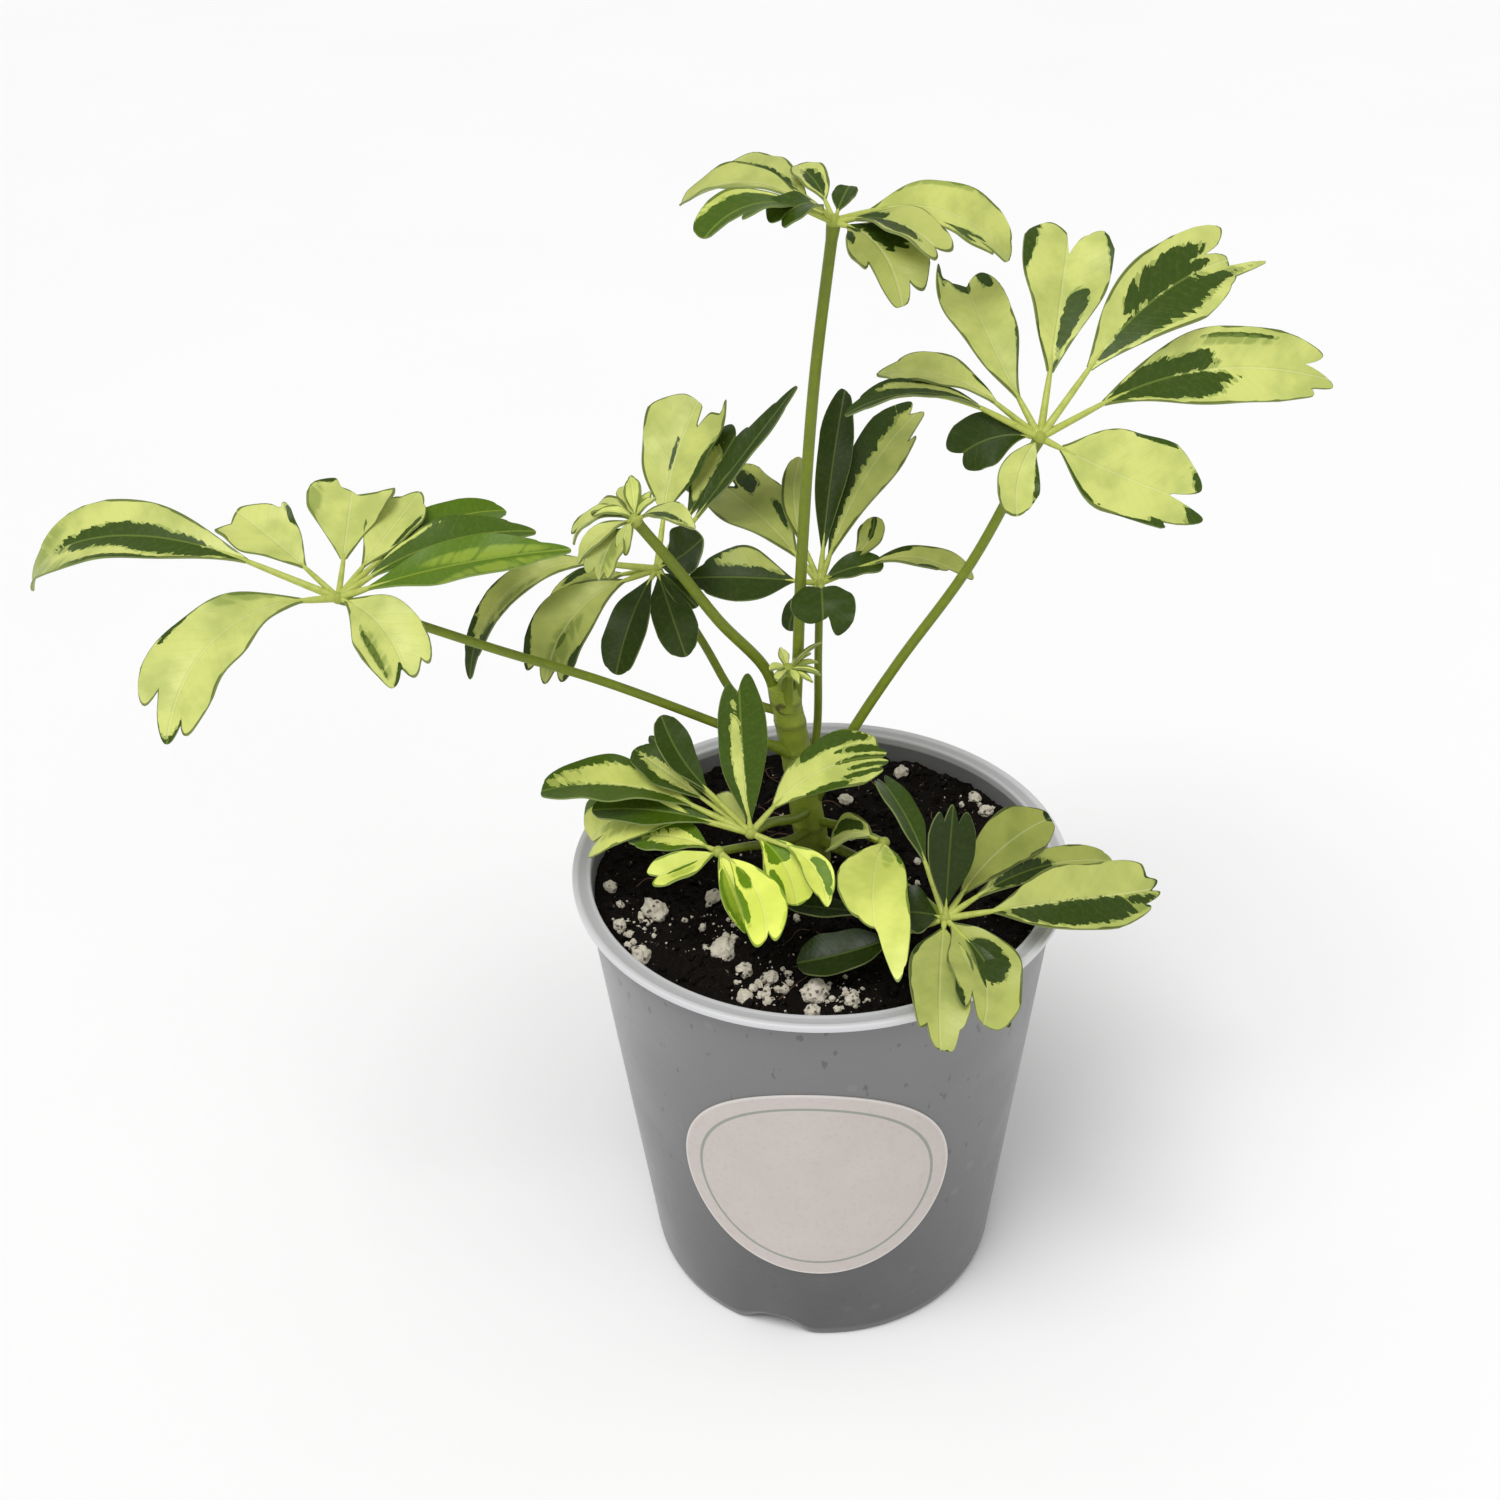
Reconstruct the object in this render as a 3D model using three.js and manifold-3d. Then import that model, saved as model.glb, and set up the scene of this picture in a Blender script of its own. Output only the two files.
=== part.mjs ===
// A potted umbrella plant: a cut-leaf dwarf schefflera in a tapered 12 cm nursery pot.
// Millimetres, +Z up. The origin is the centre of the pot's foot, on the surface it stands on,
// and -Y is the front, where the label is.
import * as THREE from "three";
import { mergeVertices } from "three/addons/utils/BufferGeometryUtils.js";
import Module from "manifold-3d";

const wasm = await Module();
wasm.setup();

// ---- Driving dimensions -------------------------------------------------------------------

const GAP = 0.3; // clearance between pieces that touch

const POT = {
  height: 120,
  rimRadius: 60,
  wallRadius: 57.1, // outer radius right under the rim
  wallFootRadius: 45, // outer radius where the wall's straight slope ends
  wallFoot: 3,
  footRadius: 44,
  wall: 1.6,
  rimWidth: 4.6,
  rimThick: 2,
  rimStep: 2, // height of the rim's outer band
  bevel: 0.5, // softened edges of the rim
  floorLift: 4, // the floor stands this high above the foot
  floorThick: 1.8,
  buttonRadius: 9, // flat centre foot under the floor
  notchWidth: 15,
  notchCount: 3,
  notchTurn: -109, // direction of the first gap in the foot ring
  holeRadius: 3.5,
  holeCount: 6,
  holeCircle: 27,
  sides: 40,
};

const LABEL = {
  thick: 0.6,
  radius: 33.7,
  centre: 61, // its height
  turn: -94.4, // its direction from the pot's axis
  strips: 14,
  rows: 10,
};

const SOIL = { level: 114.5, bump: 0.9, rings: 5, edge: 0.7 };

// White granules in the soil: x, y, radius.
const GRANULES = [
  [-40, -11, 3.7],
  [-48, -17, 2],
  [-43, -27, 2.7],
  [-24, -26, 3.7],
  [-26, -8, 2.2],
  [-51, -1, 1.8],
  [-19, -33, 2.2],
  [-19, -44, 2.2],
  [-13, -37, 2],
  [-3, -42, 3.5],
  [-4, -49, 2],
  [5, -46, 2],
  [41, 31, 2],
  [43, 23, 2],
  [23, 43, 2.2],
  [8, 31, 2],
  [-22, 32, 2.2],
];

const TRUNK = {
  foot: 103,
  top: 165,
  depth: 8, // it stands this far behind the pot's axis
  lean: -8, // sideways reach of its top
  leanPower: 1.2, // more than 1: it leans more and more
  lowRadius: 4.3, // up to the first leaf scar
  topRadius: 3.5,
  scars: [125, 136, 147, 157], // heights of the ring swellings
  scarSwell: 0.5,
  scarTall: 2.4,
  sides: 10,
};

const BLADE_THICK = 0.7;
const STALK_THICK = 1.2;
const CUP = 0.28; // how far a blade's edges stand above its midrib, per mm of half width
const STALK_RADIUS = 0.7;
const KNOT = 1.4; // swelling where the leaflets meet, in petiole radii

// The cut of a blade's tip: how much of the length each of a few lines along the blade reaches,
// from its clockwise edge to its anticlockwise one, seen from above.
const ROUND = [0.72, 0.95, 1, 0.95, 0.72];
const POINTED = [0.55, 0.85, 1, 0.85, 0.55];
const NOTCHED = [0.78, 0.99, 0.85, 0.97, 0.76];
const FORKED = [0.8, 1, 0.69, 0.97, 0.78];
const TOOTHED = [0.74, 0.93, 0.8, 1, 0.83, 0.95, 0.76];
const HOOKED = [0.5, 0.66, 0.76, 1, 0.88];
const BROAD = [0.8, 0.98, 0.97, 0.86, 0.93, 0.97, 0.88];

// Each leaf: its hub, where the leaflets meet, in mm; the lean of its axis in degrees from upright
// toward a direction round the pot; its petiole's radius and path up to the hub; its leaflets.
// Each leaflet: turn, lift, roll in degrees | stalk, length, width in mm | droop, curl, sweep in
// degrees | cut. Turn is its direction round the hub, lift its rise at the hub and roll its twist
// about its own midrib. Droop bends it down evenly, curl bends its tip, sweep bends it sideways.
const LEAVES = [
  {
    name: "leaf_top",
    hub: [4, 6, 276],
    tilt: 8,
    toward: -90,
    radius: 1.25,
    petiole: [
      [-5.5, 8, 150],
      [-4.6, 8, 168],
      [-3.2, 7, 200],
      [-0.3, 6.5, 240],
    ],
    leaflets: [
      [140, 14, 0, 9, 29, 12, 54, 0, 28, ROUND],
      [122, 7, 3, 10, 27, 11, 27, 0, 12, ROUND],
      [206, 33, 0, 8, 28, 12, 39, 0, 32, TOOTHED],
      [105, 18, 0, 6, 13, 7, 19, 0, 19, ROUND],
      [243, 50, 0, 5, 12, 8, 44, 0, 7, ROUND],
      [70, 19, 0, 3, 8, 5, 18, 0, 0, ROUND],
      [314, 5, 0, 4, 22, 13, 57, 0, -30, TOOTHED],
      [331, 19, 0, 5, 23, 10, 44, 0, -27, NOTCHED],
      [31, 7, 15, 9, 39, 17, 67, 0, -21, NOTCHED],
    ],
  },
  {
    name: "leaf_right",
    hub: [47, 0, 230],
    tilt: 45,
    toward: -80,
    radius: 1.3,
    petiole: [
      [-2, 8, 130],
      [7.5, 6, 152],
      [18.5, 4, 173],
      [34, 2, 199.5],
    ],
    leaflets: [
      [158, 6, 50, 14, 30, 11, 22, 0, 55, POINTED],
      [141, -4, 30, 12, 28, 12, 35, 0, 38, POINTED],
      [116, -4, 0, 10, 33, 15, 21, 0, -16, NOTCHED],
      [81, 0, 0, 15, 35, 20, 9, 0, 0, BROAD],
      [56, 12, 0, 18, 46, 19, 33, 0, -31, TOOTHED],
      [31, 3, 0, 16, 51, 17, 6, 0, -42, NOTCHED],
      [334, 3, 0, 5, 32, 20, 2, 0, 10, FORKED],
      [231, -4, 0, 1, 17, 9, 18, 0, 54, ROUND],
      [172, -9, 0, 3, 16, 12, 24, 0, 50, NOTCHED],
    ],
  },
  {
    name: "leaf_left",
    hub: [-101, -20, 208],
    tilt: 15,
    toward: -90,
    radius: 1.1,
    petiole: [
      [-5, 6, 146.5],
      [-23, 3, 158],
      [-48, -4, 175],
      [-72, -12, 190],
    ],
    leaflets: [
      [159, 12, -10, 21, 61, 18, 52, 10, 20, POINTED],
      [135, 10, 0, 11, 17, 10, 1, 0, 6, NOTCHED],
      [90, 10, 0, 10, 20, 13, 0, 0, 0, FORKED],
      [59, 9, 0, 9, 22, 9, 6, 0, 6, ROUND],
      [50, 7, 0, 12, 33, 9, 31, 0, -25, POINTED],
      [35, 10, 0, 8, 37, 11, 21, 0, -30, POINTED],
      [1, 20, 0, 7, 44, 12, 18, 0, 0, POINTED],
      [328, 4, 0, 2, 25, 15, 39, 0, -44, FORKED],
      [207, 21, 0, 8, 43, 18, 60, 0, 52, TOOTHED],
    ],
  },
  {
    name: "leaf_centre",
    hub: [1, 14, 188.5],
    tilt: 12,
    toward: -90,
    radius: 1.0,
    petiole: [
      [-3, 8, 137],
      [0, 12, 150],
      [0.5, 13, 170],
    ],
    leaflets: [
      [81, 36, 0, 7, 40, 8, 8, 0, -5, NOTCHED],
      [65, 31, 0, 7, 46, 13, 29, 0, -15, TOOTHED],
      [29, 3, 0, 2, 13, 8, 20, 0, -18, ROUND],
      [34, 15, 0, 10, 12, 6, -9, 0, 55, ROUND],
      [16, 11, 0, 13, 24, 8, 46, 0, -48, HOOKED],
      [264, 20, 15, 7.5, 12, 13, 20, 0, -12, ROUND],
      [294, 2, 0, 3, 14, 6, 11, 0, -6, ROUND],
      [205, -10, 0, 3, 13, 4, 33, 0, 19, ROUND],
      [126, 17, 0, 11, 29, 14, 28, 0, 0, NOTCHED],
      [110, 22, 0, 10, 24, 6, 3, 0, -40, ROUND],
      [173, 7, -15, 11, 17, 14, 29, 0, 0, ROUND],
    ],
  },
  {
    name: "leaf_centre_left",
    hub: [-36, 15, 193],
    tilt: 25,
    toward: -110,
    radius: 1.0,
    petiole: [
      [-8, 9, 157],
      [-13, 9.5, 158.5],
      [-19.5, 10, 162],
      [-26, 12, 174.5],
    ],
    leaflets: [
      [76, 20, 0, 13, 28, 19, 3, 0, -20, FORKED],
      [40, 21, -20, 14, 38, 9, 0, 0, 0, POINTED],
      [52, 15, -15, 14, 25, 11, 0, 0, 0, NOTCHED],
      [348, 32, 15, 2, 14, 12, -14, 0, 18, ROUND],
      [241, 1, 0, 3, 24, 9, 31, 0, 8, ROUND],
      [282, 0, 0, 2, 21, 9, 30, 0, 2, ROUND],
      [308, 0, 0, 2, 12, 6, 19, 0, 0, ROUND],
      [199, 5, 0, 8, 31, 15, 46, 0, 49, TOOTHED],
      [176, -6, 0, 8, 25, 9, 44, 0, 16, POINTED],
      [192, 29, 0, 14, 44, 10, 70, 50, 12, POINTED],
    ],
  },
  {
    name: "leaf_low_left",
    hub: [-16.5, -20, 143.5],
    tilt: 15,
    toward: -90,
    radius: 1.1,
    petiole: [
      [-2.5, 7, 130],
      [-6, -2, 134],
      [-12, -13, 141],
    ],
    leaflets: [
      [98, 51, 0, 2.5, 32, 11, 5, 0, -9, FORKED],
      [48, 12, 15, 8, 33, 14, 35, 0, -34, TOOTHED],
      [153, 9, 10, 15, 36, 12, 19, 0, 36, POINTED],
      [161, 5, 0, 10, 27, 6, 14, 0, 14, ROUND],
      [144, 32, 0, 14, 20, 8, -3, 0, -34, ROUND],
      [144, 14, 0, 14, 19, 8, 10, 0, -6, ROUND],
      [138, 16, 0, 13, 24, 4, 35, 0, -25, ROUND],
      [167, -1, 0, 17, 33, 12, 56, 0, -28, NOTCHED],
      [322, -8, 0, 2.5, 18, 11, 33, 0, -45, ROUND],
      [330, 3, 0, 9, 18, 7, 37, 0, -56, POINTED],
    ],
  },
  {
    name: "leaf_low_front",
    hub: [-24, -24, 141.5],
    tilt: 15,
    toward: -90,
    radius: 1.0,
    petiole: [
      [-2, 7, 124],
      [-8, -3, 128],
      [-17, -15, 136],
    ],
    leaflets: [
      [145, -6, 0, 3, 21, 10, 20, 0, 25, ROUND],
      [207, 1, 0, 1, 16, 8, 15, 0, -12, ROUND],
      [290, 0, 0, 1, 20, 8, 26, 0, 2, ROUND],
      [315, 3, 0, 3.5, 25, 10, 19, 0, -54, POINTED],
    ],
  },
  {
    name: "leaf_low_right",
    hub: [26.5, -35, 129],
    tilt: 20,
    toward: -60,
    radius: 1.1,
    petiole: [
      [0, 8, 120],
      [12, -9, 124.5],
      [21, -25, 128],
    ],
    leaflets: [
      [104, 60, 0, 3, 25, 11, 0, 0, -4, NOTCHED],
      [111, 16, 15, 13.5, 28, 8, 43, 0, 0, POINTED],
      [56, 19, 0, 7, 31, 11, 25, 0, -23, TOOTHED],
      [34, 19, 0, 8, 36, 8, 31, 0, -27, ROUND],
      [6, 16, 15, 11, 38, 16, 15, 0, 4, TOOTHED],
      [257, 4, 0, 3, 29, 11, 21, 0, 17, NOTCHED],
      [309, 17, 0, 2, 29, 13, 27, 0, -55, FORKED],
      [304, 12, 0, 7, 23, 6, 44, 0, -18, POINTED],
      [177, 12, 0, 2, 11, 12, 20, 0, 14, ROUND],
      [196, -23, 0, 13, 22, 11, 0, 0, -14, ROUND],
      [168, -18, 0, 17, 22, 6, 0, 0, -5, POINTED],
    ],
  },
  {
    name: "leaf_low_middle",
    hub: [14.5, -12, 133.5],
    tilt: 10,
    toward: -90,
    radius: 1.0,
    petiole: [
      [-1.5, 8, 126],
      [7, 0, 129],
    ],
    leaflets: [
      [252, 24, 0, 1, 43, 16, 46, 0, 29, TOOTHED],
      [136, -12, 0, 4, 14, 12, 52, 0, 33, ROUND],
    ],
  },
  {
    name: "leaf_young",
    hub: [-39, -4, 215.5],
    tilt: 10,
    toward: -120,
    radius: 1.6,
    petiole: [
      [-9, 8.5, 160],
      [-12.5, 7.5, 171],
      [-22, 3, 185.7],
      [-30.7, 0, 201],
    ],
    leaflets: [
      [105, 31, 0, 1, 9, 4, 36, 0, 0, ROUND],
      [147, 15, 0, 1, 18, 7, 84, 0, 45, ROUND],
      [200, 9, 0, 3.5, 11, 4, 77, 0, 22, ROUND],
      [229, 0, 0, 3.5, 12, 8, 55, 0, 16, ROUND],
      [326, 39, 0, 3, 16, 6, 59, 0, -14, ROUND],
      [136, 24, 0, 1.5, 11, 6, 72, 0, 20, ROUND],
    ],
  },
  {
    name: "shoot_tip",
    hub: [-6.8, 5, 171],
    tilt: 0,
    toward: -90,
    radius: 1.0,
    petiole: [
      [-7, 5.8, 160],
      [-7, 5.5, 166],
    ],
    leaflets: [
      [5, 55, 0, 3, 10, 2.5, 0, 0, 0, ROUND],
      [120, 60, 0, 1.5, 6, 3, 20, 0, 0, ROUND],
      [210, 35, 0, 1.5, 6, 3.5, 30, 0, 0, ROUND],
      [290, 30, 0, 1.5, 7, 4, 40, 0, 0, ROUND],
    ],
  },
];

// ---- From geometry to solids and back -----------------------------------------------------

function toSolid(geometry) {
  const bare = geometry.clone();
  bare.deleteAttribute("normal");
  bare.deleteAttribute("uv");
  const merged = mergeVertices(bare, 1e-4);
  return new wasm.Manifold(
    new wasm.Mesh({
      numProp: 3,
      vertProperties: new Float32Array(merged.attributes.position.array),
      triVerts: new Uint32Array(merged.index.array),
    }),
  );
}

function toGeometry(solid) {
  const mesh = solid.getMesh();
  const geometry = new THREE.BufferGeometry();
  const points = new Float32Array(mesh.numVert * 3);
  for (let i = 0; i < mesh.numVert; i += 1) {
    points.set(mesh.vertProperties.subarray(i * mesh.numProp, i * mesh.numProp + 3), i * 3);
  }
  geometry.setAttribute("position", new THREE.BufferAttribute(points, 3));
  geometry.setIndex(new THREE.BufferAttribute(mesh.triVerts, 1));
  return geometry.toNonIndexed();
}

const radians = (degrees) => (degrees * Math.PI) / 180;
const vector = (point) => new THREE.Vector3(...point);

// ---- Basic forms --------------------------------------------------------------------------

// A round rod along a smooth curve through the given points.
function rod(points, radius, sides, steps) {
  const section = new THREE.Shape();
  for (let i = 0; i < sides; i += 1) {
    const angle = (2 * Math.PI * i) / sides;
    const corner = [radius * Math.cos(angle), radius * Math.sin(angle)];
    if (i === 0) section.moveTo(...corner);
    else section.lineTo(...corner);
  }
  const path = points.length > 2
    ? new THREE.CatmullRomCurve3(points)
    : new THREE.LineCurve3(...points);
  return toSolid(
    new THREE.ExtrudeGeometry(section, { steps, bevelEnabled: false, extrudePath: path }),
  );
}

// A thin closed sheet: surface(s, row) gives its middle for s from -1 to 1 across and row from 0 to
// rows along, and thickness(row) how thick it is. Both faces are split into the same triangles.
function sheet(surface, thickness, strips, rows) {
  const middle = new THREE.PlaneGeometry(2, 1, strips, rows);
  const points = middle.attributes.position;
  const rowOf = (i) => rows - Math.floor(i / (strips + 1));
  for (let i = 0; i < points.count; i += 1) {
    const at = surface(points.getX(i), rowOf(i));
    points.setXYZ(i, at.x, at.y, at.z);
  }
  middle.computeVertexNormals();
  const normals = middle.attributes.normal;
  const count = points.count;
  const both = new Float32Array(count * 6);
  for (let i = 0; i < count; i += 1) {
    const at = new THREE.Vector3().fromBufferAttribute(points, i);
    const out = new THREE.Vector3().fromBufferAttribute(normals, i);
    out.multiplyScalar(thickness(rowOf(i)) / 2);
    both.set(at.clone().add(out).toArray(), i * 3);
    both.set(at.clone().sub(out).toArray(), (count + i) * 3);
  }
  const faces = [];
  const upper = middle.index.array;
  for (let i = 0; i < upper.length; i += 3) {
    const [a, b, c] = upper.subarray(i, i + 3);
    faces.push(a, b, c);
    faces.push(count + a, count + c, count + b);
  }
  const across = strips + 1;
  const edge = [];
  for (let i = 0; i < strips; i += 1) edge.push(i);
  for (let j = 0; j < rows; j += 1) edge.push(j * across + strips);
  for (let i = strips; i > 0; i -= 1) edge.push(rows * across + i);
  for (let j = rows; j > 0; j -= 1) edge.push(j * across);
  edge.forEach((a, i) => {
    const b = edge[(i + 1) % edge.length];
    faces.push(a, b, count + b);
    faces.push(a, count + b, count + a);
  });
  const closed = new THREE.BufferGeometry();
  closed.setAttribute("position", new THREE.BufferAttribute(both, 3));
  closed.setIndex(faces);
  return toSolid(closed);
}

// ---- Pot ----------------------------------------------------------------------------------

const rimBottom = POT.height - POT.rimStep;
const wallSlope = (POT.wallRadius - POT.wallFootRadius) / (rimBottom - POT.wallFoot);
const wallAt = (z) => POT.wallFootRadius + wallSlope * (z - POT.wallFoot);

function lathe(profile, sides) {
  const points = profile.map(([radius, z]) => new THREE.Vector2(radius, z));
  const turned = new THREE.LatheGeometry(points, sides);
  turned.rotateX(Math.PI / 2);
  return turned;
}

function pot() {
  const inner = POT.rimRadius - POT.rimWidth;
  const floorTop = POT.floorLift + POT.floorThick;
  const profile = [
    [0, 0],
    [POT.buttonRadius, 0],
    [POT.buttonRadius + 1, POT.floorLift],
    [wallAt(POT.floorLift) - POT.wall, POT.floorLift],
    [POT.footRadius - POT.wall, 0],
    [POT.footRadius, 0],
    [POT.wallFootRadius, POT.wallFoot],
    [POT.wallRadius, rimBottom],
    [POT.rimRadius, rimBottom + POT.bevel],
    [POT.rimRadius, POT.height - POT.bevel],
    [POT.rimRadius - POT.bevel, POT.height],
    [inner + POT.bevel, POT.height],
    [inner, POT.height - POT.rimThick],
    [POT.wallRadius - POT.wall, rimBottom - 1],
    [wallAt(floorTop) - POT.wall, floorTop],
    [0, floorTop],
  ];
  let body = toSolid(lathe(profile, POT.sides));
  for (let i = 0; i < POT.notchCount; i += 1) {
    const notch = new THREE.BoxGeometry(POT.wall * 6, POT.notchWidth, POT.floorLift * 2);
    notch.translate(POT.footRadius, 0, 0);
    notch.rotateZ(radians(POT.notchTurn + (360 * i) / POT.notchCount));
    body = body.subtract(toSolid(notch));
  }
  for (let i = 0; i < POT.holeCount; i += 1) {
    const turn = (2 * Math.PI * i) / POT.holeCount;
    const hole = new THREE.CylinderGeometry(POT.holeRadius, POT.holeRadius, POT.floorLift * 4, 10);
    hole.rotateX(Math.PI / 2);
    hole.translate(POT.holeCircle * Math.cos(turn), POT.holeCircle * Math.sin(turn), 0);
    body = body.subtract(toSolid(hole));
  }
  return body;
}

// ---- Label --------------------------------------------------------------------------------

// A thin round sticker wrapped round the wall.
function label() {
  const surface = (s, row) => {
    const rise = Math.cos(Math.PI * (1 - row / LABEL.rows)) * 0.985;
    const reach = LABEL.radius * Math.sqrt(1 - rise * rise);
    const z = LABEL.centre + LABEL.radius * rise;
    const radius = wallAt(z) + GAP + LABEL.thick / 2;
    const turn = radians(LABEL.turn) + (s * reach) / radius;
    return new THREE.Vector3(radius * Math.cos(turn), radius * Math.sin(turn), z);
  };
  return sheet(surface, () => LABEL.thick, LABEL.strips, LABEL.rows);
}

// ---- Trunk --------------------------------------------------------------------------------

// The trunk with its leaf scars. spare is how much larger all of it is made, for clearances.
function trunk(spare = 0) {
  const { foot, top, lowRadius, topRadius, scars, scarSwell, scarTall } = TRUNK;
  const profile = [
    [0, foot - spare],
    [lowRadius + spare, foot - spare],
  ];
  let radius = lowRadius;
  scars.forEach((height, i) => {
    const next = THREE.MathUtils.lerp(lowRadius, topRadius, (i + 2) / (scars.length + 1));
    profile.push([radius + spare, height - scarTall / 2 - spare]);
    profile.push([radius + scarSwell + spare, height]);
    profile.push([next + spare, height + scarTall / 2 + spare]);
    radius = next;
  });
  profile.push([topRadius + spare, top + spare]);
  profile.push([0, top + spare]);
  const turned = lathe(profile, TRUNK.sides);
  const at = turned.attributes.position;
  for (let i = 0; i < at.count; i += 1) {
    const share = THREE.MathUtils.clamp((at.getZ(i) - foot) / (top - foot), 0, 1);
    at.setX(i, at.getX(i) + TRUNK.lean * share ** TRUNK.leanPower);
    at.setY(i, at.getY(i) + TRUNK.depth);
  }
  return toSolid(turned);
}

// ---- Soil ---------------------------------------------------------------------------------

function soilHeight(x, y) {
  const swell = Math.sin(x * 0.31 + 1) * Math.cos(y * 0.27) + 0.5 * Math.sin(x * 0.7 + y * 0.6);
  return SOIL.level + SOIL.bump * swell;
}

function soil() {
  const floor = POT.floorLift + POT.floorThick + GAP;
  const inner = (z) => wallAt(z) - POT.wall - GAP;
  const topRadius = inner(SOIL.level);
  const profile = [
    [0, floor],
    [inner(floor), floor],
    [topRadius, SOIL.level - SOIL.edge],
  ];
  for (let i = SOIL.rings; i >= 0; i -= 1) {
    profile.push([((topRadius - SOIL.edge) * i) / SOIL.rings, SOIL.level]);
  }
  const filled = lathe(profile, POT.sides);
  const at = filled.attributes.position;
  for (let i = 0; i < at.count; i += 1) {
    const [x, y, z] = [at.getX(i), at.getY(i), at.getZ(i)];
    if (z > SOIL.level - SOIL.edge / 2 && Math.hypot(x, y) < topRadius - 2 * SOIL.edge) {
      at.setZ(i, soilHeight(x, y));
    }
  }
  let body = toSolid(filled);
  GRANULES.forEach(([x, y, radius], i) => {
    const granule = new THREE.IcosahedronGeometry(radius, 0);
    granule.rotateX(i);
    granule.rotateY(2 * i);
    granule.translate(x, y, soilHeight(x, y) + radius * 0.15);
    body = body.add(toSolid(granule));
  });
  return body.subtract(trunk(GAP));
}

// ---- Leaves -------------------------------------------------------------------------------

// The direction of a leaflet in its leaf's own frame, where +Z is the leaf's axis.
function heading(turn, lift) {
  const level = Math.cos(radians(lift));
  return new THREE.Vector3(
    level * Math.cos(radians(turn)),
    level * Math.sin(radians(turn)),
    Math.sin(radians(lift)),
  );
}

// Width of a blade along its length, as a share of its widest: narrow at the stalk, widest past
// the middle.
function fullness(t) {
  const widest = 0.6;
  const rise = Math.sin((Math.PI / 2) * Math.min(1, t / widest));
  const fall = Math.max(0, t - widest) / (1 - widest);
  return 0.07 + 0.93 * rise ** 1.15 - 0.14 * fall * fall;
}

function leaflet([turn, lift, roll, stalk, length, width, droop, curl, sweep, cut]) {
  const turnAt = (t) => turn + sweep * t;
  const liftAt = (t) => lift - droop * t - curl * t ** 4;
  const foot = heading(turn, lift).multiplyScalar(stalk);
  const pieces = 24;
  const midrib = [foot];
  for (let i = 0; i < pieces; i += 1) {
    const t = (i + 0.5) / pieces;
    const step = heading(turnAt(t), liftAt(t)).multiplyScalar(length / pieces);
    midrib.push(midrib[i].clone().add(step));
  }
  const large = length > 30;
  const small = length < 20;
  const rows = large ? 4 : small ? 2 : 3;
  const strips = cut.length - 1;
  const surface = (s, row) => {
    if (row === 0) {
      return heading(turn, lift)
        .multiplyScalar(STALK_RADIUS / 2)
        .addScaledVector(heading(turn + 90, 0), s * STALK_RADIUS);
    }
    const t = ((row - 1) / rows) * cut[Math.round(((s + 1) / 2) * strips)];
    const step = Math.min(pieces - 1, Math.floor(t * pieces));
    const middle = midrib[step].clone().lerp(midrib[step + 1], t * pieces - step);
    const along = heading(turnAt(t), liftAt(t));
    const across = heading(turnAt(t) + 90, 0).applyAxisAngle(along, radians(roll));
    const half = Math.max(STALK_RADIUS, (width * fullness(t)) / 2);
    return middle
      .addScaledVector(across, s * half)
      .addScaledVector(along.cross(across), CUP * Math.abs(s) * half);
  };
  return sheet(surface, (row) => (row < 2 ? STALK_THICK : BLADE_THICK), strips, rows + 1);
}

function moved(solid, matrix) {
  return toSolid(toGeometry(solid).applyMatrix4(matrix));
}

function leaf({ hub, tilt, toward, radius, petiole, leaflets }) {
  const frame = new THREE.Matrix4()
    .makeRotationAxis(heading(toward + 90, 0), radians(tilt))
    .setPosition(...hub);
  let body = rod([...petiole, hub].map(vector), radius, 6, 7);
  const knot = new THREE.IcosahedronGeometry(radius * KNOT, 0).translate(...hub);
  body = body.add(toSolid(knot));
  for (const one of leaflets) body = body.add(moved(leaflet(one), frame));
  return body.subtract(trunk(GAP));
}

// ---- Assembly -----------------------------------------------------------------------------

const plant = new THREE.Group();

function addPiece(name, solid, color, roughness) {
  const material = new THREE.MeshStandardMaterial({ color, roughness, metalness: 0 });
  const mesh = new THREE.Mesh(toGeometry(solid), material);
  mesh.name = name;
  plant.add(mesh);
}

addPiece("pot", pot(), "#8f9094", 0.45);
addPiece("label", label(), "#c9beb8", 0.6);
addPiece("soil", soil(), "#17120f", 0.95);
addPiece("trunk", trunk(), "#5d6b2a", 0.6);
LEAVES.forEach((one) => addPiece(one.name, leaf(one), "#b9c263", 0.45));

export default plant;
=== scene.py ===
import math
import random

import bpy
from mathutils import Matrix, Vector, noise


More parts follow.
